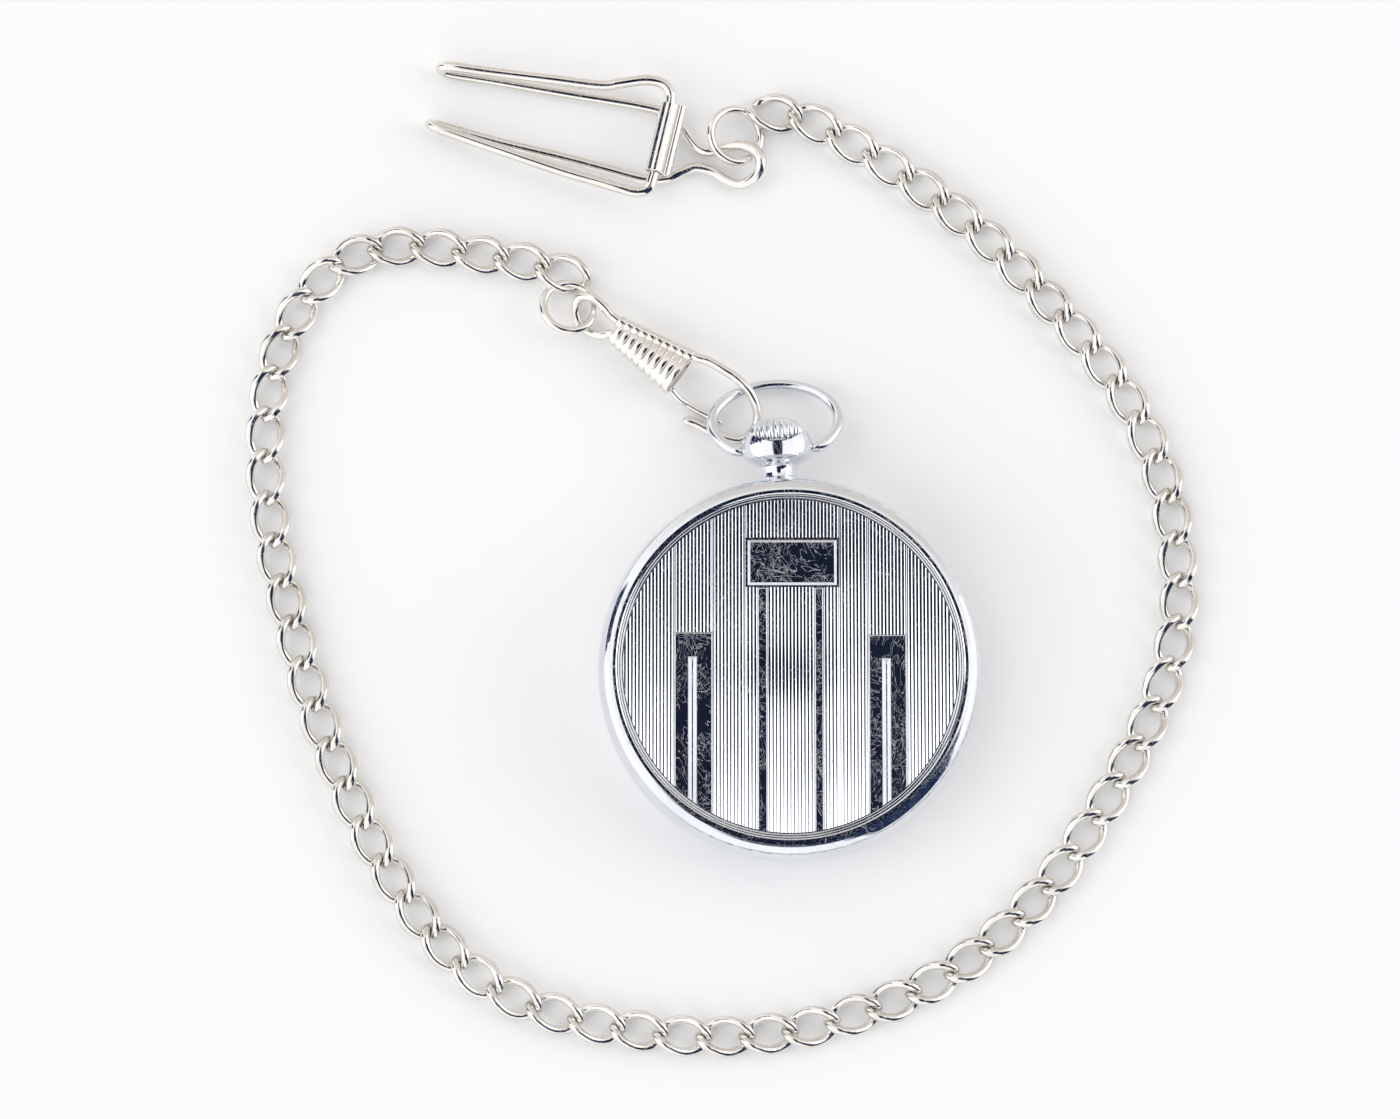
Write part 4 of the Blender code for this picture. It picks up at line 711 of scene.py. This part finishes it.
barrel_stations = [(0.0, 0.5 * MM)]
barrel_stations += [(n / (BARREL_RINGS - 1), 0.0) for n in range(BARREL_RINGS)]
barrel_stations += [(1.0, 0.5 * SHEET), (1.0, SHEET), (0.94, 1.1 * SHEET), (0.86, 1.2 * SHEET)]
body = rolled_sheet("barrel_body", len(barrel_stations), BARREL_SIDES, barrel_body,
                    hardware_nickel)
bead = rolled_sheet("barrel_bead", BARREL_RINGS, BEAD_SIDES, barrel_bead, hardware_nickel)
join_into(body, [bead])
body.name = "ribbed_barrel"
settle(body, "chain_set", "warm_nickel", "clasp_barrel")

# %% [markdown]
# ## Jump rings
#
# Each end of the chain hangs on a jump ring: round wire bent to a circle
# with its two ends meeting. The meeting line is a real gap here. The
# rings lean, because they lie across the wires that they join.

# %% Two jump rings
RING_WIRE = 0.52 * MM
RING_STEPS = 72
RING_GAP = 2.4


def jump_ring(name, centre, radius, lean, high_side, cut):
    """A ring of wire with one side higher; cut is the bearing of the gap."""
    high = math.radians(high_side)
    axis = Vector((math.sin(high), -math.cos(high), 0))
    tilt = Matrix.Rotation(math.radians(lean), 3, axis)
    line = []
    for k in range(RING_STEPS + 1):
        turn = math.radians(cut + 0.5 * RING_GAP + (360 - RING_GAP) * k / RING_STEPS)
        line.append(Vector(centre) * MM
                    + tilt @ Vector((math.cos(turn), math.sin(turn), 0)) * radius * MM)
    return bent_wire(name, line, RING_WIRE, hardware_nickel, round_ends=False)


settle(jump_ring("clasp_jump_ring", (-23.7, 45.2, 1.75), 3.1, 16.9, -120, 12), "chain_set",
       "warm_nickel", "clasp_ring")
settle(jump_ring("clip_jump_ring", (-2.75, 64.95, 1.75), 3.22, 22, 180, 72), "chain_set",
       "warm_nickel", "clip_ring")

# %% [markdown]
# ## The clip
#
# One long wire makes the whole clip: two prongs, each a hairpin, the eye for
# the ring, and the short bar where the wire's two ends meet inside a folded
# sleeve. The sleeve is a small tube, with the folded seam beside it.

# %% The clip's wire
CLIP_WIRE = 0.68 * MM
LOW = 0.72
BAR = 3.15
CLIP_POINTS = [
    (-11.35, 65.6, BAR), (-10.45, 68.6, BAR), (-10.3, 70.3, BAR), (-11.2, 71.5, BAR),
    (-13.2, 72.0, BAR), (-16.2, 71.8, BAR - 0.1), (-18.6, 71.7, BAR - 0.3),
    (-24.0, 72.7, 2.75), (-31.0, 74.0, 2.5), (-36.0, 75.0, 2.35), (-37.4, 75.1, 1.9),
    (-37.3, 74.8, 1.05), (-36.0, 74.4, LOW), (-31.0, 73.3, LOW), (-22.0, 71.2, LOW),
    (-14.0, 69.4, LOW), (-10.6, 68.2, LOW), (-9.2, 66.8, LOW), (-8.2, 65.0, LOW),
    (-7.2, 63.8, LOW), (-6.0, 63.4, LOW + 0.05), (-4.4, 63.7, LOW + 0.1),
    (-2.3, 63.75, LOW + 0.75), (-0.6, 63.0, 2.15), (0.1, 61.4, 2.5), (-0.6, 59.8, 2.0),
    (-2.4, 59.0, 1.3), (-4.2, 59.7, 0.95), (-5.8, 60.9, LOW), (-7.7, 61.5, LOW),
    (-9.6, 61.0, LOW), (-11.6, 60.3, LOW), (-14.2, 60.5, LOW), (-18.5, 61.9, LOW),
    (-24.0, 63.7, LOW), (-31.0, 65.8, LOW), (-37.4, 68.0, LOW), (-38.9, 68.4, 1.05),
    (-39.0, 68.2, 1.9), (-37.6, 67.3, 2.35), (-31.0, 64.5, 2.6), (-24.0, 61.6, 2.8),
    (-20.2, 60.2, BAR - 0.2), (-17.0, 59.0, BAR), (-15.0, 58.4, BAR), (-13.6, 58.7, BAR),
    (-12.9, 60.2, BAR), (-12.1, 62.9, BAR),
]
clip_line = smooth_route(in_metres(CLIP_POINTS), 0.4 * MM)
settle(bent_wire("clip_wire_bent", clip_line, CLIP_WIRE, hardware_nickel), "chain_set",
       "warm_nickel", "clip_wire")

# %% The folded sleeve
SLEEVE_FROM = Vector((-12.75, 60.7, BAR)) * MM
SLEEVE_TO = Vector((-10.35, 68.9, BAR)) * MM
SLEEVE_OUTER = 1.15 * MM
SLEEVE_INNER = 0.8 * MM
SLEEVE_SIDES = 24
SEAM_RADIUS = 0.62 * MM
SEAM_STEPS = 20
SEAM_DROP = Vector((0, 0, 0.1 * MM))
sleeve_way = (SLEEVE_TO - SLEEVE_FROM).normalized()
sleeve_side = sleeve_way.cross(Vector((0, 0, 1)))
sleeve_stations = [(1, SLEEVE_INNER), (0, SLEEVE_INNER), (0, SLEEVE_OUTER - 0.12 * MM),
                   (0.012, SLEEVE_OUTER), (0.988, SLEEVE_OUTER), (1, SLEEVE_OUTER - 0.12 * MM)]


def sleeve_tube(ring, side):
    """Out along the outside and back along the bore, so that the wall is closed."""
    share, reach = sleeve_stations[ring % len(sleeve_stations)]
    turn = FULL_TURN * side / SLEEVE_SIDES
    return (SLEEVE_FROM.lerp(SLEEVE_TO, share)
            + (sleeve_side * math.cos(turn) + Vector((0, 0, 1)) * math.sin(turn)) * reach)


sleeve = rolled_sheet("sleeve_tube", len(sleeve_stations) + 1, SLEEVE_SIDES, sleeve_tube,
                      hardware_nickel)
seam_line = [SLEEVE_FROM.lerp(SLEEVE_TO, n / SEAM_STEPS) + sleeve_side * 1.4 * MM - SEAM_DROP
             for n in range(SEAM_STEPS + 1)]
seam = bent_wire("sleeve_seam", seam_line, SEAM_RADIUS, hardware_nickel, round_ends=False)
join_into(sleeve, [seam])
sleeve.name = "folded_sleeve"
settle(sleeve, "chain_set", "warm_nickel", "clip_sleeve")

# %% [markdown]
# ## The case: turned parts
#
# Case makers turn the band, the bezel and the back on a lathe, so each is a
# closed outline carried round an axis. Corners get a small round first: no
# real edge is perfectly sharp, and the round is what catches the light.

# %% Turn an outline round an axis
CASE_SIDES = 192
case_chrome = worn_metal("case_chrome", (0.80, 0.82, 0.86), (0.60, 0.62, 0.67), 0.035, 1300,
                         wear=0.35, pits=0.2)
PENDANT_Z = 4.85
NECK_HOLE = 2.25


def rounded_corners(outline, size, steps=3):
    """Each corner of a closed outline, swapped for a short curve."""
    soft = []
    for k, corner in enumerate(outline):
        here = Vector(corner)
        before = Vector(outline[k - 1])
        after = Vector(outline[(k + 1) % len(outline)])
        if here.x < 1e-6:
            soft.append(here)
            continue
        a = here + (before - here).normalized() * min(size, 0.45 * (before - here).length)
        b = here + (after - here).normalized() * min(size, 0.45 * (after - here).length)
        for n in range(steps + 1):
            t = n / steps
            soft.append(a * (1 - t) ** 2 + here * 2 * t * (1 - t) + b * t * t)
    return soft


def turned_part(name, outline, finish, round_size=0.08, sides=CASE_SIDES, smooth=30):
    """A closed outline of (radius, height) in mm, turned round the Z axis."""
    soft = rounded_corners(outline, round_size)

    def place(ring, side):
        radius, height = soft[ring % len(soft)]
        turn = FULL_TURN * side / sides
        return Vector((radius * math.cos(turn), radius * math.sin(turn), height)) * MM

    return rolled_sheet(name, len(soft) + 1, sides, place, finish, smooth)


# %% Front bezel and band
bezel = turned_part("front_bezel_turned", [
    (18.45, 0.6), (19.65, 0.42), (21.1, 0.75), (21.9, 1.35), (22.3, 2.1), (22.3, 2.75),
    (20.9, 2.75), (20.9, 1.65), (17.55, 1.65), (17.55, 1.35), (18.45, 1.35),
], case_chrome, 0.25)
settle(bezel, "case", "case_chrome", "front_bezel")

band = turned_part("case_band_turned", [
    (19.4, 1.8), (20.6, 1.8), (20.6, 2.9), (22.3, 2.9), (22.5, 3.95), (22.52, 4.85),
    (22.5, 5.75), (22.3, 6.8), (20.6, 6.8), (20.6, 7.9), (19.4, 7.9),
], case_chrome, 0.2)
neck_hole = round_bar(NECK_HOLE, 6, (0, 21, PENDANT_Z), (math.pi / 2, 0, 0), 48)
cut_with(band, neck_hole, "DIFFERENCE")
settle(band, "case", "case_chrome", "case_band")

# %% [markdown]
# ## The pendant
#
# The pendant is the neck and ball that carry the crown and the bow. It is
# turned round its own axis and then pressed a little flatter, and a round
# cut in its top makes room for the fingers at the crown.

# %% The pendant
def turned_on_neck(name, outline, finish, sides, flatten=None, flute=None, smooth=35):
    """A closed outline of (radius, distance along Y) in mm, turned round the neck's axis."""
    def place(ring, side):
        radius, along = outline[ring % len(outline)]
        turn = FULL_TURN * side / sides
        radius *= flute(ring % len(outline), turn) if flute else 1.0
        press = flatten(radius) if flatten else 1.0
        return Vector((
            radius * math.cos(turn), along, PENDANT_Z + press * radius * math.sin(turn),
        )) * MM

    return rolled_sheet(name, len(outline) + 1, sides, place, finish, smooth)


SOCKET_WALL = 3.65
FLATTEST = 0.86


def pressed(radius):
    """The ball is pressed flatter, but never thinner than the crown's socket."""
    return max(FLATTEST, SOCKET_WALL / radius) if radius > SOCKET_WALL else 1.0


PENDANT_OUTLINE = [
    (0.8, 20.75), (2.1, 20.75), (2.1, 22.2), (2.45, 22.35), (2.5, 22.55), (2.2, 22.8),
    (2.12, 23.3), (2.16, 23.85), (2.35, 24.2), (2.8, 24.5), (3.35, 24.75), (3.8, 25.05),
    (4.08, 25.45), (4.22, 25.9), (4.27, 26.3), (4.25, 26.75), (4.15, 27.2), (4.0, 27.65),
    (3.88, 27.95), (3.78, 28.08), (3.6, 28.1), (3.42, 28.0), (3.35, 27.8), (3.35, 26.4),
    (0.8, 26.4),
]
SCOOP_RADIUS = 4.4
PIVOT_HOLE = 0.63
BOW_PIVOT_Y = 26.2
pendant = turned_on_neck("pendant_turned", PENDANT_OUTLINE, case_chrome, 96, pressed)
scoop = round_bar(SCOOP_RADIUS, 16, (0, 31.0, PENDANT_Z))
pivot_hole = round_bar(PIVOT_HOLE, 12, (0, BOW_PIVOT_Y, PENDANT_Z), (0, math.pi / 2, 0))
for cutter in (scoop, pivot_hole):
    cut_with(pendant, cutter, "DIFFERENCE")
select_only([pendant])
bpy.ops.object.shade_smooth_by_angle(angle=math.radians(35))
settle(pendant, "case", "case_chrome", "pendant")

# %% [markdown]
# ## The crown
#
# The crown is a small onion with rounded flutes for the thumb. The flutes
# are deepest at its widest part and fade out before the smooth cap.

# %% The crown
FLUTES = 22
CROWN_RADIUS = 3.1
CROWN_FROM = 26.75
CROWN_LENGTH = 3.1
CROWN_SHAPE = [
    (0.0, 0.0, 0.0), (0.60, 0.0, 0.0), (0.80, 0.02, 0.02), (0.90, 0.08, 0.06),
    (0.96, 0.18, 0.10), (0.995, 0.32, 0.13), (1.0, 0.46, 0.14), (0.985, 0.60, 0.14),
    (0.94, 0.73, 0.13), (0.86, 0.83, 0.11), (0.76, 0.895, 0.07), (0.64, 0.935, 0.03),
    (0.50, 0.965, 0.0), (0.30, 0.99, 0.0), (0.12, 1.0, 0.0), (0.0, 1.0, 0.0),
]
crown_outline = [(CROWN_RADIUS * r, CROWN_FROM + CROWN_LENGTH * y) for r, y, _ in CROWN_SHAPE]


def crown_flute(ring, turn):
    """Round ridges with narrow grooves between them."""
    depth = CROWN_SHAPE[ring][2]
    return 1 - depth * (1 - abs(math.sin(0.5 * FLUTES * turn)) ** 0.8)


crown = turned_on_neck("crown_fluted", crown_outline, case_chrome, FLUTES * 12, None,
                       crown_flute, 50)
settle(crown, "crown", "case_chrome", "crown")

# %% [markdown]
# ## The bow
#
# The bow is an oval ring of round wire. Its two ends turn in and become the
# pivots, so the watch swings on it.

# %% The bow
BOW_WIRE = 0.68 * MM
BOW_DROOP = math.radians(24.5)
BOW_HALF = 7.5
BOW_LENGTH = 9.3
BALL_RADIUS = 4.25
BOW_STEPS = 22
EDGE_TURN = 0.12
PIVOT_LENGTH = 0.45
PIVOT_SHARE = 0.78
TAPER_LENGTH = 0.5
open_share = BALL_RADIUS / BOW_HALF * 1.12
lift = math.sqrt(1 - open_share ** 2)
bow_half_length = BOW_LENGTH / (1 + lift)
bow_start = math.asin(open_share)
flat_points = [(3.75, 0.0), (4.5, 0.0)]
for k in range(BOW_STEPS + 1):
    turn = mix(bow_start + EDGE_TURN, FULL_TURN - bow_start - EDGE_TURN, k / BOW_STEPS)
    flat_points.append((BOW_HALF * math.sin(turn), bow_half_length * (lift - math.cos(turn))))
flat_points += [(-4.5, 0.0), (-3.75, 0.0)]
bow_line = smooth_route(in_metres([
    (x, BOW_PIVOT_Y + t * math.cos(BOW_DROOP), PENDANT_Z - t * math.sin(BOW_DROOP))
    for x, t in flat_points
]), 0.3 * MM)


def pivot_ends(share):
    """The wire is turned thinner where it enters the pendant."""
    edge = min(share, 1 - share) * route_length(bow_line) / MM
    past = max(edge - PIVOT_LENGTH, 0.0) / TAPER_LENGTH
    return min(1.0, PIVOT_SHARE + (1 - PIVOT_SHARE) * past)


bow = bent_wire("bow_bent", bow_line, BOW_WIRE, case_chrome, 18, False, pivot_ends)
settle(bow, "bow", "case_chrome", "bow")

# %% [markdown]
# ## The engraved back
#
# The back is a shallow cup with a rounded, polished rim and two raised rings
# round its field. The field is engraved by machine with straight parallel
# lines. Between them stand smooth panels: a framed plate near the pendant,
# two stripes under it, and two pillars with a bar in each. The lines are real
# ridges here, each with a flat land on top, and the lands are wider in the
# middle, where years of handling have worn the pattern down.

# %% The turned cup
back_chrome = worn_metal("back_chrome", (0.80, 0.82, 0.86), (0.55, 0.57, 0.62), 0.04, 1300,
                         wear=0.4, pits=0.25)
BACK_OUTLINE = [
    (0.0, 9.40), (19.5, 9.40), (19.52, 9.50), (19.66, 9.50), (19.74, 9.535), (19.82, 9.50),
    (19.94, 9.50), (20.02, 9.535), (20.10, 9.50), (20.22, 9.50), (20.34, 9.595),
    (20.42, 9.60), (20.7, 9.59), (20.95, 9.55), (21.2, 9.475), (21.45, 9.35), (21.65, 9.20),
    (21.85, 8.99), (22.0, 8.76), (22.18, 8.36), (22.31, 7.9), (22.38, 7.45), (22.36, 7.1),
    (22.3, 6.95), (20.9, 6.95), (20.9, 8.2), (20.5, 8.6), (0.0, 8.6),
]
back = turned_part("engraved_back", BACK_OUTLINE, back_chrome, 0.02, 256, 22)
print("cup faces:", len(back.data.polygons))

# %% Panels that stand between the lines
FIELD_RADIUS = 19.5
FIELD_LOW = 9.36
FIELD_TOP = 9.60
LINE_PITCH = 0.41
GROOVE = 0.07

# Each panel is (left, right, bottom, top, bevel width) in the pattern's own frame.
PANELS = {
    "name_plate": (-4.98, 5.39, 9.43, 14.74, 0.30),
    "stripe_left": (-3.84, -2.71, -21.0, 9.10, 0.12),
    "stripe_right": (2.80, 3.81, -21.0, 9.10, 0.12),
    "pillar_left": (-13.50, -9.11, -21.0, 3.85, 0.11),
    "pillar_right": (9.09, 13.48, -21.0, 3.56, 0.11),
}
BARS = {"bar_left": (-11.93, -10.91, -16.6, 1.06), "bar_right": (10.63, 11.65, -16.7, 0.85)}
# The areas that hold no engraved lines, with a fine groove round them.
CLEARED = [(-5.27, 5.68, 9.19, 15.03), (-3.90, -2.65, -21.0, 9.19), (2.74, 3.87, -21.0, 9.19),
           (-13.56, -9.05, -21.0, 3.92), (9.03, 13.54, -21.0, 3.63)]
BEVEL_SLOPE = 0.42
BAR_SINK = 0.19
BAR_BEVEL = 0.44
BAR_RISE = 0.17
pattern_turn = Matrix.Rotation(-VIEW_TURN, 4, "Z")


def block(name, left, right, bottom, top, low, high):
    """A box in the pattern's frame, added as a cube at its size and place."""
    bpy.ops.object.select_all(action="DESELECT")
    bpy.ops.mesh.primitive_cube_add(
        size=1, location=(0.5 * (left + right) * MM, 0.5 * (bottom + top) * MM,
                          0.5 * (low + high) * MM),
        scale=((right - left) * MM, (top - bottom) * MM, (high - low) * MM),
    )
    made = bpy.context.object
    made.name = name
    bpy.ops.object.transform_apply(location=True, rotation=True, scale=True)
    return made


def slope_top(made, width, rise):
    """Inset the upper face and lift it, so that all four edges slope."""
    edit_all(made)
    mesh = bmesh.from_edit_mesh(made.data)
    for face in mesh.faces:
        face.select = face.normal.z > 0.9
    bmesh.update_edit_mesh(made.data)
    bpy.ops.mesh.select_mode(type="FACE")
    bpy.ops.mesh.inset(thickness=width * MM, depth=rise * MM)
    bpy.ops.mesh.select_mode(type="VERT")
    bpy.ops.object.mode_set(mode="OBJECT")


def field_disc():
    """A cutter as wide as the field."""
    return round_bar(FIELD_RADIUS, 4, (0, 0, FIELD_TOP), sides=256)


panel_chrome = worn_metal("panel_chrome", (0.78, 0.80, 0.85), (0.52, 0.54, 0.60), 0.05, 1300,
                          0.003, wear=0.5, pits=0.4, bump=0.3)
plates = []
for name, (left, right, bottom, top, bevel) in PANELS.items():
    rise = BEVEL_SLOPE * bevel
    made = block(name, left, right, bottom, top, FIELD_LOW, FIELD_TOP - rise)
    slope_top(made, bevel, rise)
    if bottom < -FIELD_RADIUS:
        cut_with(made, field_disc(), "INTERSECT")
    plates.append(made)
pillars = plates[-len(BARS):]
for (name, (left, right, bottom, top)), plate in zip(BARS.items(), pillars):
    slot = block("slot", left - GROOVE, right + GROOVE, bottom - 2, top + GROOVE,
                 FIELD_LOW - 1, FIELD_TOP + 1)
    cut_with(plate, slot, "DIFFERENCE")
    made = block(name, left, right, bottom, top, FIELD_LOW, FIELD_TOP - BAR_SINK)
    slope_top(made, BAR_BEVEL, BAR_RISE)
    cut_with(made, field_disc(), "INTERSECT")
    plates.append(made)
for made in plates:
    set_material(made, panel_chrome)
print("plates:", [made.name for made in plates])

# %% Where the lines run
def split_round(cells, hole):
    """The parts of each cell that lie outside one cleared rectangle."""
    left, right, bottom, top = hole
    kept = []
    for u0, u1, v0, v1 in cells:
        if u1 <= left or u0 >= right or v1 <= bottom or v0 >= top:
            kept.append((u0, u1, v0, v1))
            continue
        if u0 < left:
            kept.append((u0, left, v0, v1))
            u0 = left
        if u1 > right:
            kept.append((right, u1, v0, v1))
            u1 = right
        if v0 < bottom:
            kept.append((u0, u1, v0, bottom))
        if v1 > top:
            kept.append((u0, u1, top, v1))
    return kept


def land_share(u, v):
    """How much of a line is flat land: more towards the top and in the worn middle."""
    middle = math.exp(-((u + 0.2) / 4.6) ** 2 - ((v + 0.8) / 3.2) ** 2)
    drift = noise.noise(Vector((0.16 * u, 0.16 * v, 2.5)))
    speck = noise.noise(Vector((0.9 * u, 0.5 * v, 7.5)))
    share = 0.36 + 0.0123 * (v + 14) + 0.27 * middle + 0.08 * drift + 0.06 * speck * middle
    return max(0.2, min(0.86, share))


def field_edge(u):
    """How far the round field reaches up or down from its middle at this place."""
    return math.sqrt(max(FIELD_RADIUS ** 2 - u * u, 0.0))


THINNEST_LINE = 0.05
cells = []
line_count = int(2 * FIELD_RADIUS / LINE_PITCH)
for n in range(line_count):
    u0 = (n - 0.5 * line_count) * LINE_PITCH
    cells.append((u0, u0 + LINE_PITCH, -FIELD_RADIUS, FIELD_RADIUS))
for hole in CLEARED:
    cells = split_round(cells, hole)
cells = [cell for cell in cells if cell[1] - cell[0] > THINNEST_LINE]
print(line_count, "lines in", len(cells), "stretches")

# %% Engrave the lines
# Rise over run of a ridge's sides, and the most of a line's width that they take.
RIDGE_SLOPE = 0.5
WIDEST_SIDES = 0.82
VALLEY = FIELD_TOP - RIDGE_SLOPE * 0.5 * LINE_PITCH * WIDEST_SIDES
STATION = 0.8
NARROWEST = 0.3


def engraved_line(n, cell):
    """One ridge with sloping sides and a flat land, as long as its cell."""
    u0, u1, v0, v1 = cell
    middle = 0.5 * (u0 + u1)
    reach = min(field_edge(u0), field_edge(u1))
    if reach < NARROWEST or v0 > reach or v1 < -reach:
        return None
    length = min(v1, reach) - max(v0, -reach)
    rings = max(2, round(length / STATION) + 1)
    wobble = random.uniform(-0.02, 0.02)

    def place(ring, side):
        share = ring / (rings - 1)
        v_middle = mix(max(v0, -field_edge(middle)), min(v1, field_edge(middle)), share)
        land = (u1 - u0) * (land_share(middle, v_middle) + wobble)
        slope = 0.5 * (u1 - u0 - land)
        top = min(VALLEY + RIDGE_SLOPE * slope, FIELD_TOP)
        u = (u0, u1, u1, middle + 0.5 * land, middle - 0.5 * land, u0)[side]
        v = mix(max(v0, -field_edge(u)), min(v1, field_edge(u)), share)
        z = (FIELD_LOW, FIELD_LOW, VALLEY, top, top, VALLEY)[side]
        return Vector((u, v, z)) * MM

    return rolled_sheet(f"line_{n}", rings, 6, place, back_chrome, 5)


lines = [engraved_line(n, cell) for n, cell in enumerate(cells)]
lines = [made for made in lines if made]
for made in plates + lines:
    made.data.transform(pattern_turn)
join_into(back, plates + lines)
settle(back, "back", "back_chrome", "case_back")

# %% [markdown]
# ## Inside the case
#
# The pieces that keep their plain shapes get worked surfaces too: striped
# nickel plates, gilt brass wheels, blued hands and screws, grey steel, an
# ivory dial and a clear crystal.

# %% Surfaces for the movement, the dial and the crystal
# Depths in metres, and the crystal's refractive index.
STRIPE_DEPTH = 0.00004
ENAMEL_GRAIN = 0.00001
CRYSTAL_GRAIN = 0.000002
CRYSTAL_INDEX = 1.49


def striped_nickel(name):
    """Nickel plate with the broad parallel stripes of a finishing lap."""
    finish = worn_metal(name, (0.74, 0.73, 0.70), (0.58, 0.57, 0.54), 0.16, 1500, 0.003,
                        cloud_scale=200)
    tree = finish.node_tree
    shader = tree.nodes["Principled BSDF"]
    where = tree.nodes.new("ShaderNodeTexCoord").outputs["Object"]
    stripes = add_node(tree, "ShaderNodeTexWave", Scale=210, Distortion=0.4)
    tree.links.new(where, stripes.inputs["Vector"])
    ridge = add_node(tree, "ShaderNodeBump", Strength=0.5, Distance=STRIPE_DEPTH)
    tree.links.new(stripes.outputs["Fac"], ridge.inputs["Height"])
    worn = shader.inputs["Normal"].links[0].from_socket
    tree.links.new(worn, ridge.inputs["Normal"])
    tree.links.new(ridge.outputs["Normal"], shader.inputs["Normal"])
    return finish


def soft_surface(name, colour, shade, roughness, grain):
    """A surface that isn't metal: two tones that drift, fine grain and a soft sheen."""
    finish, tree, shader, where = blank_finish(name)
    cloud = noise_at(tree, where, Scale=140.0, Detail=4.0)
    tree.links.new(two_tones(tree, cloud, colour, shade), shader.inputs["Base Color"])
    rough = math_node(tree, "MULTIPLY_ADD", cloud, roughness, 0.5 * roughness)
    tree.links.new(rough, shader.inputs["Roughness"])
    relief = add_node(tree, "ShaderNodeBump", Strength=0.1, Distance=grain)
    tree.links.new(noise_at(tree, where, Scale=2600.0, Detail=2.0), relief.inputs["Height"])
    tree.links.new(relief.outputs["Normal"], shader.inputs["Normal"])
    return finish


ivory_enamel = soft_surface("ivory_enamel", (0.86, 0.83, 0.74), (0.80, 0.76, 0.66), 0.28,
                            ENAMEL_GRAIN)
clear_crystal = soft_surface("clear_crystal", (0.99, 0.99, 0.99), (0.96, 0.97, 0.97), 0.04,
                             CRYSTAL_GRAIN)
glass = clear_crystal.node_tree.nodes["Principled BSDF"]
glass.inputs["Transmission Weight"].default_value = 1.0
glass.inputs["IOR"].default_value = CRYSTAL_INDEX
lapped_nickel = striped_nickel("lapped_nickel")
gilt_brass = worn_metal("gilt_brass", (0.83, 0.62, 0.30), (0.62, 0.43, 0.19), 0.17, 1700, 0.003)
grey_steel = worn_metal("grey_steel", (0.56, 0.57, 0.58), (0.40, 0.41, 0.42), 0.15, 1700, 0.003)
heat_blue = worn_metal("heat_blue", (0.035, 0.07, 0.34), (0.03, 0.04, 0.20), 0.12, 1700, 0.003)

SURFACES = {
    clear_crystal: ["crystal"],
    ivory_enamel: ["dial"],
    lapped_nickel: ["main_plate", "barrel_bridge", "train_bridge", "balance_cock"],
    gilt_brass: ["pillar_1", "pillar_2", "pillar_3", "barrel", "barrel_lid", "centre_wheel",
                 "third_wheel", "fourth_wheel", "balance_wheel", "minute_wheel", "hour_wheel"],
    grey_steel: ["stem", "winding_pinion", "crown_wheel", "ratchet_wheel", "barrel_arbor",
                 "click", "mainspring", "escape_wheel", "pallet_fork", "cannon_pinion"],
    heat_blue: ["hour_hand", "minute_hand", "seconds_hand", "hairspring", "bridge_screw_1",
                "bridge_screw_2", "bridge_screw_3", "cock_screw", "case_screw_1",
                "case_screw_2"],
}
for finish, node_names in SURFACES.items():
    for node_name in node_names:
        for slot in bpy.data.objects[node_name].material_slots:
            slot.material = finish
print("pieces with a worked surface:", sum(map(len, SURFACES.values())))
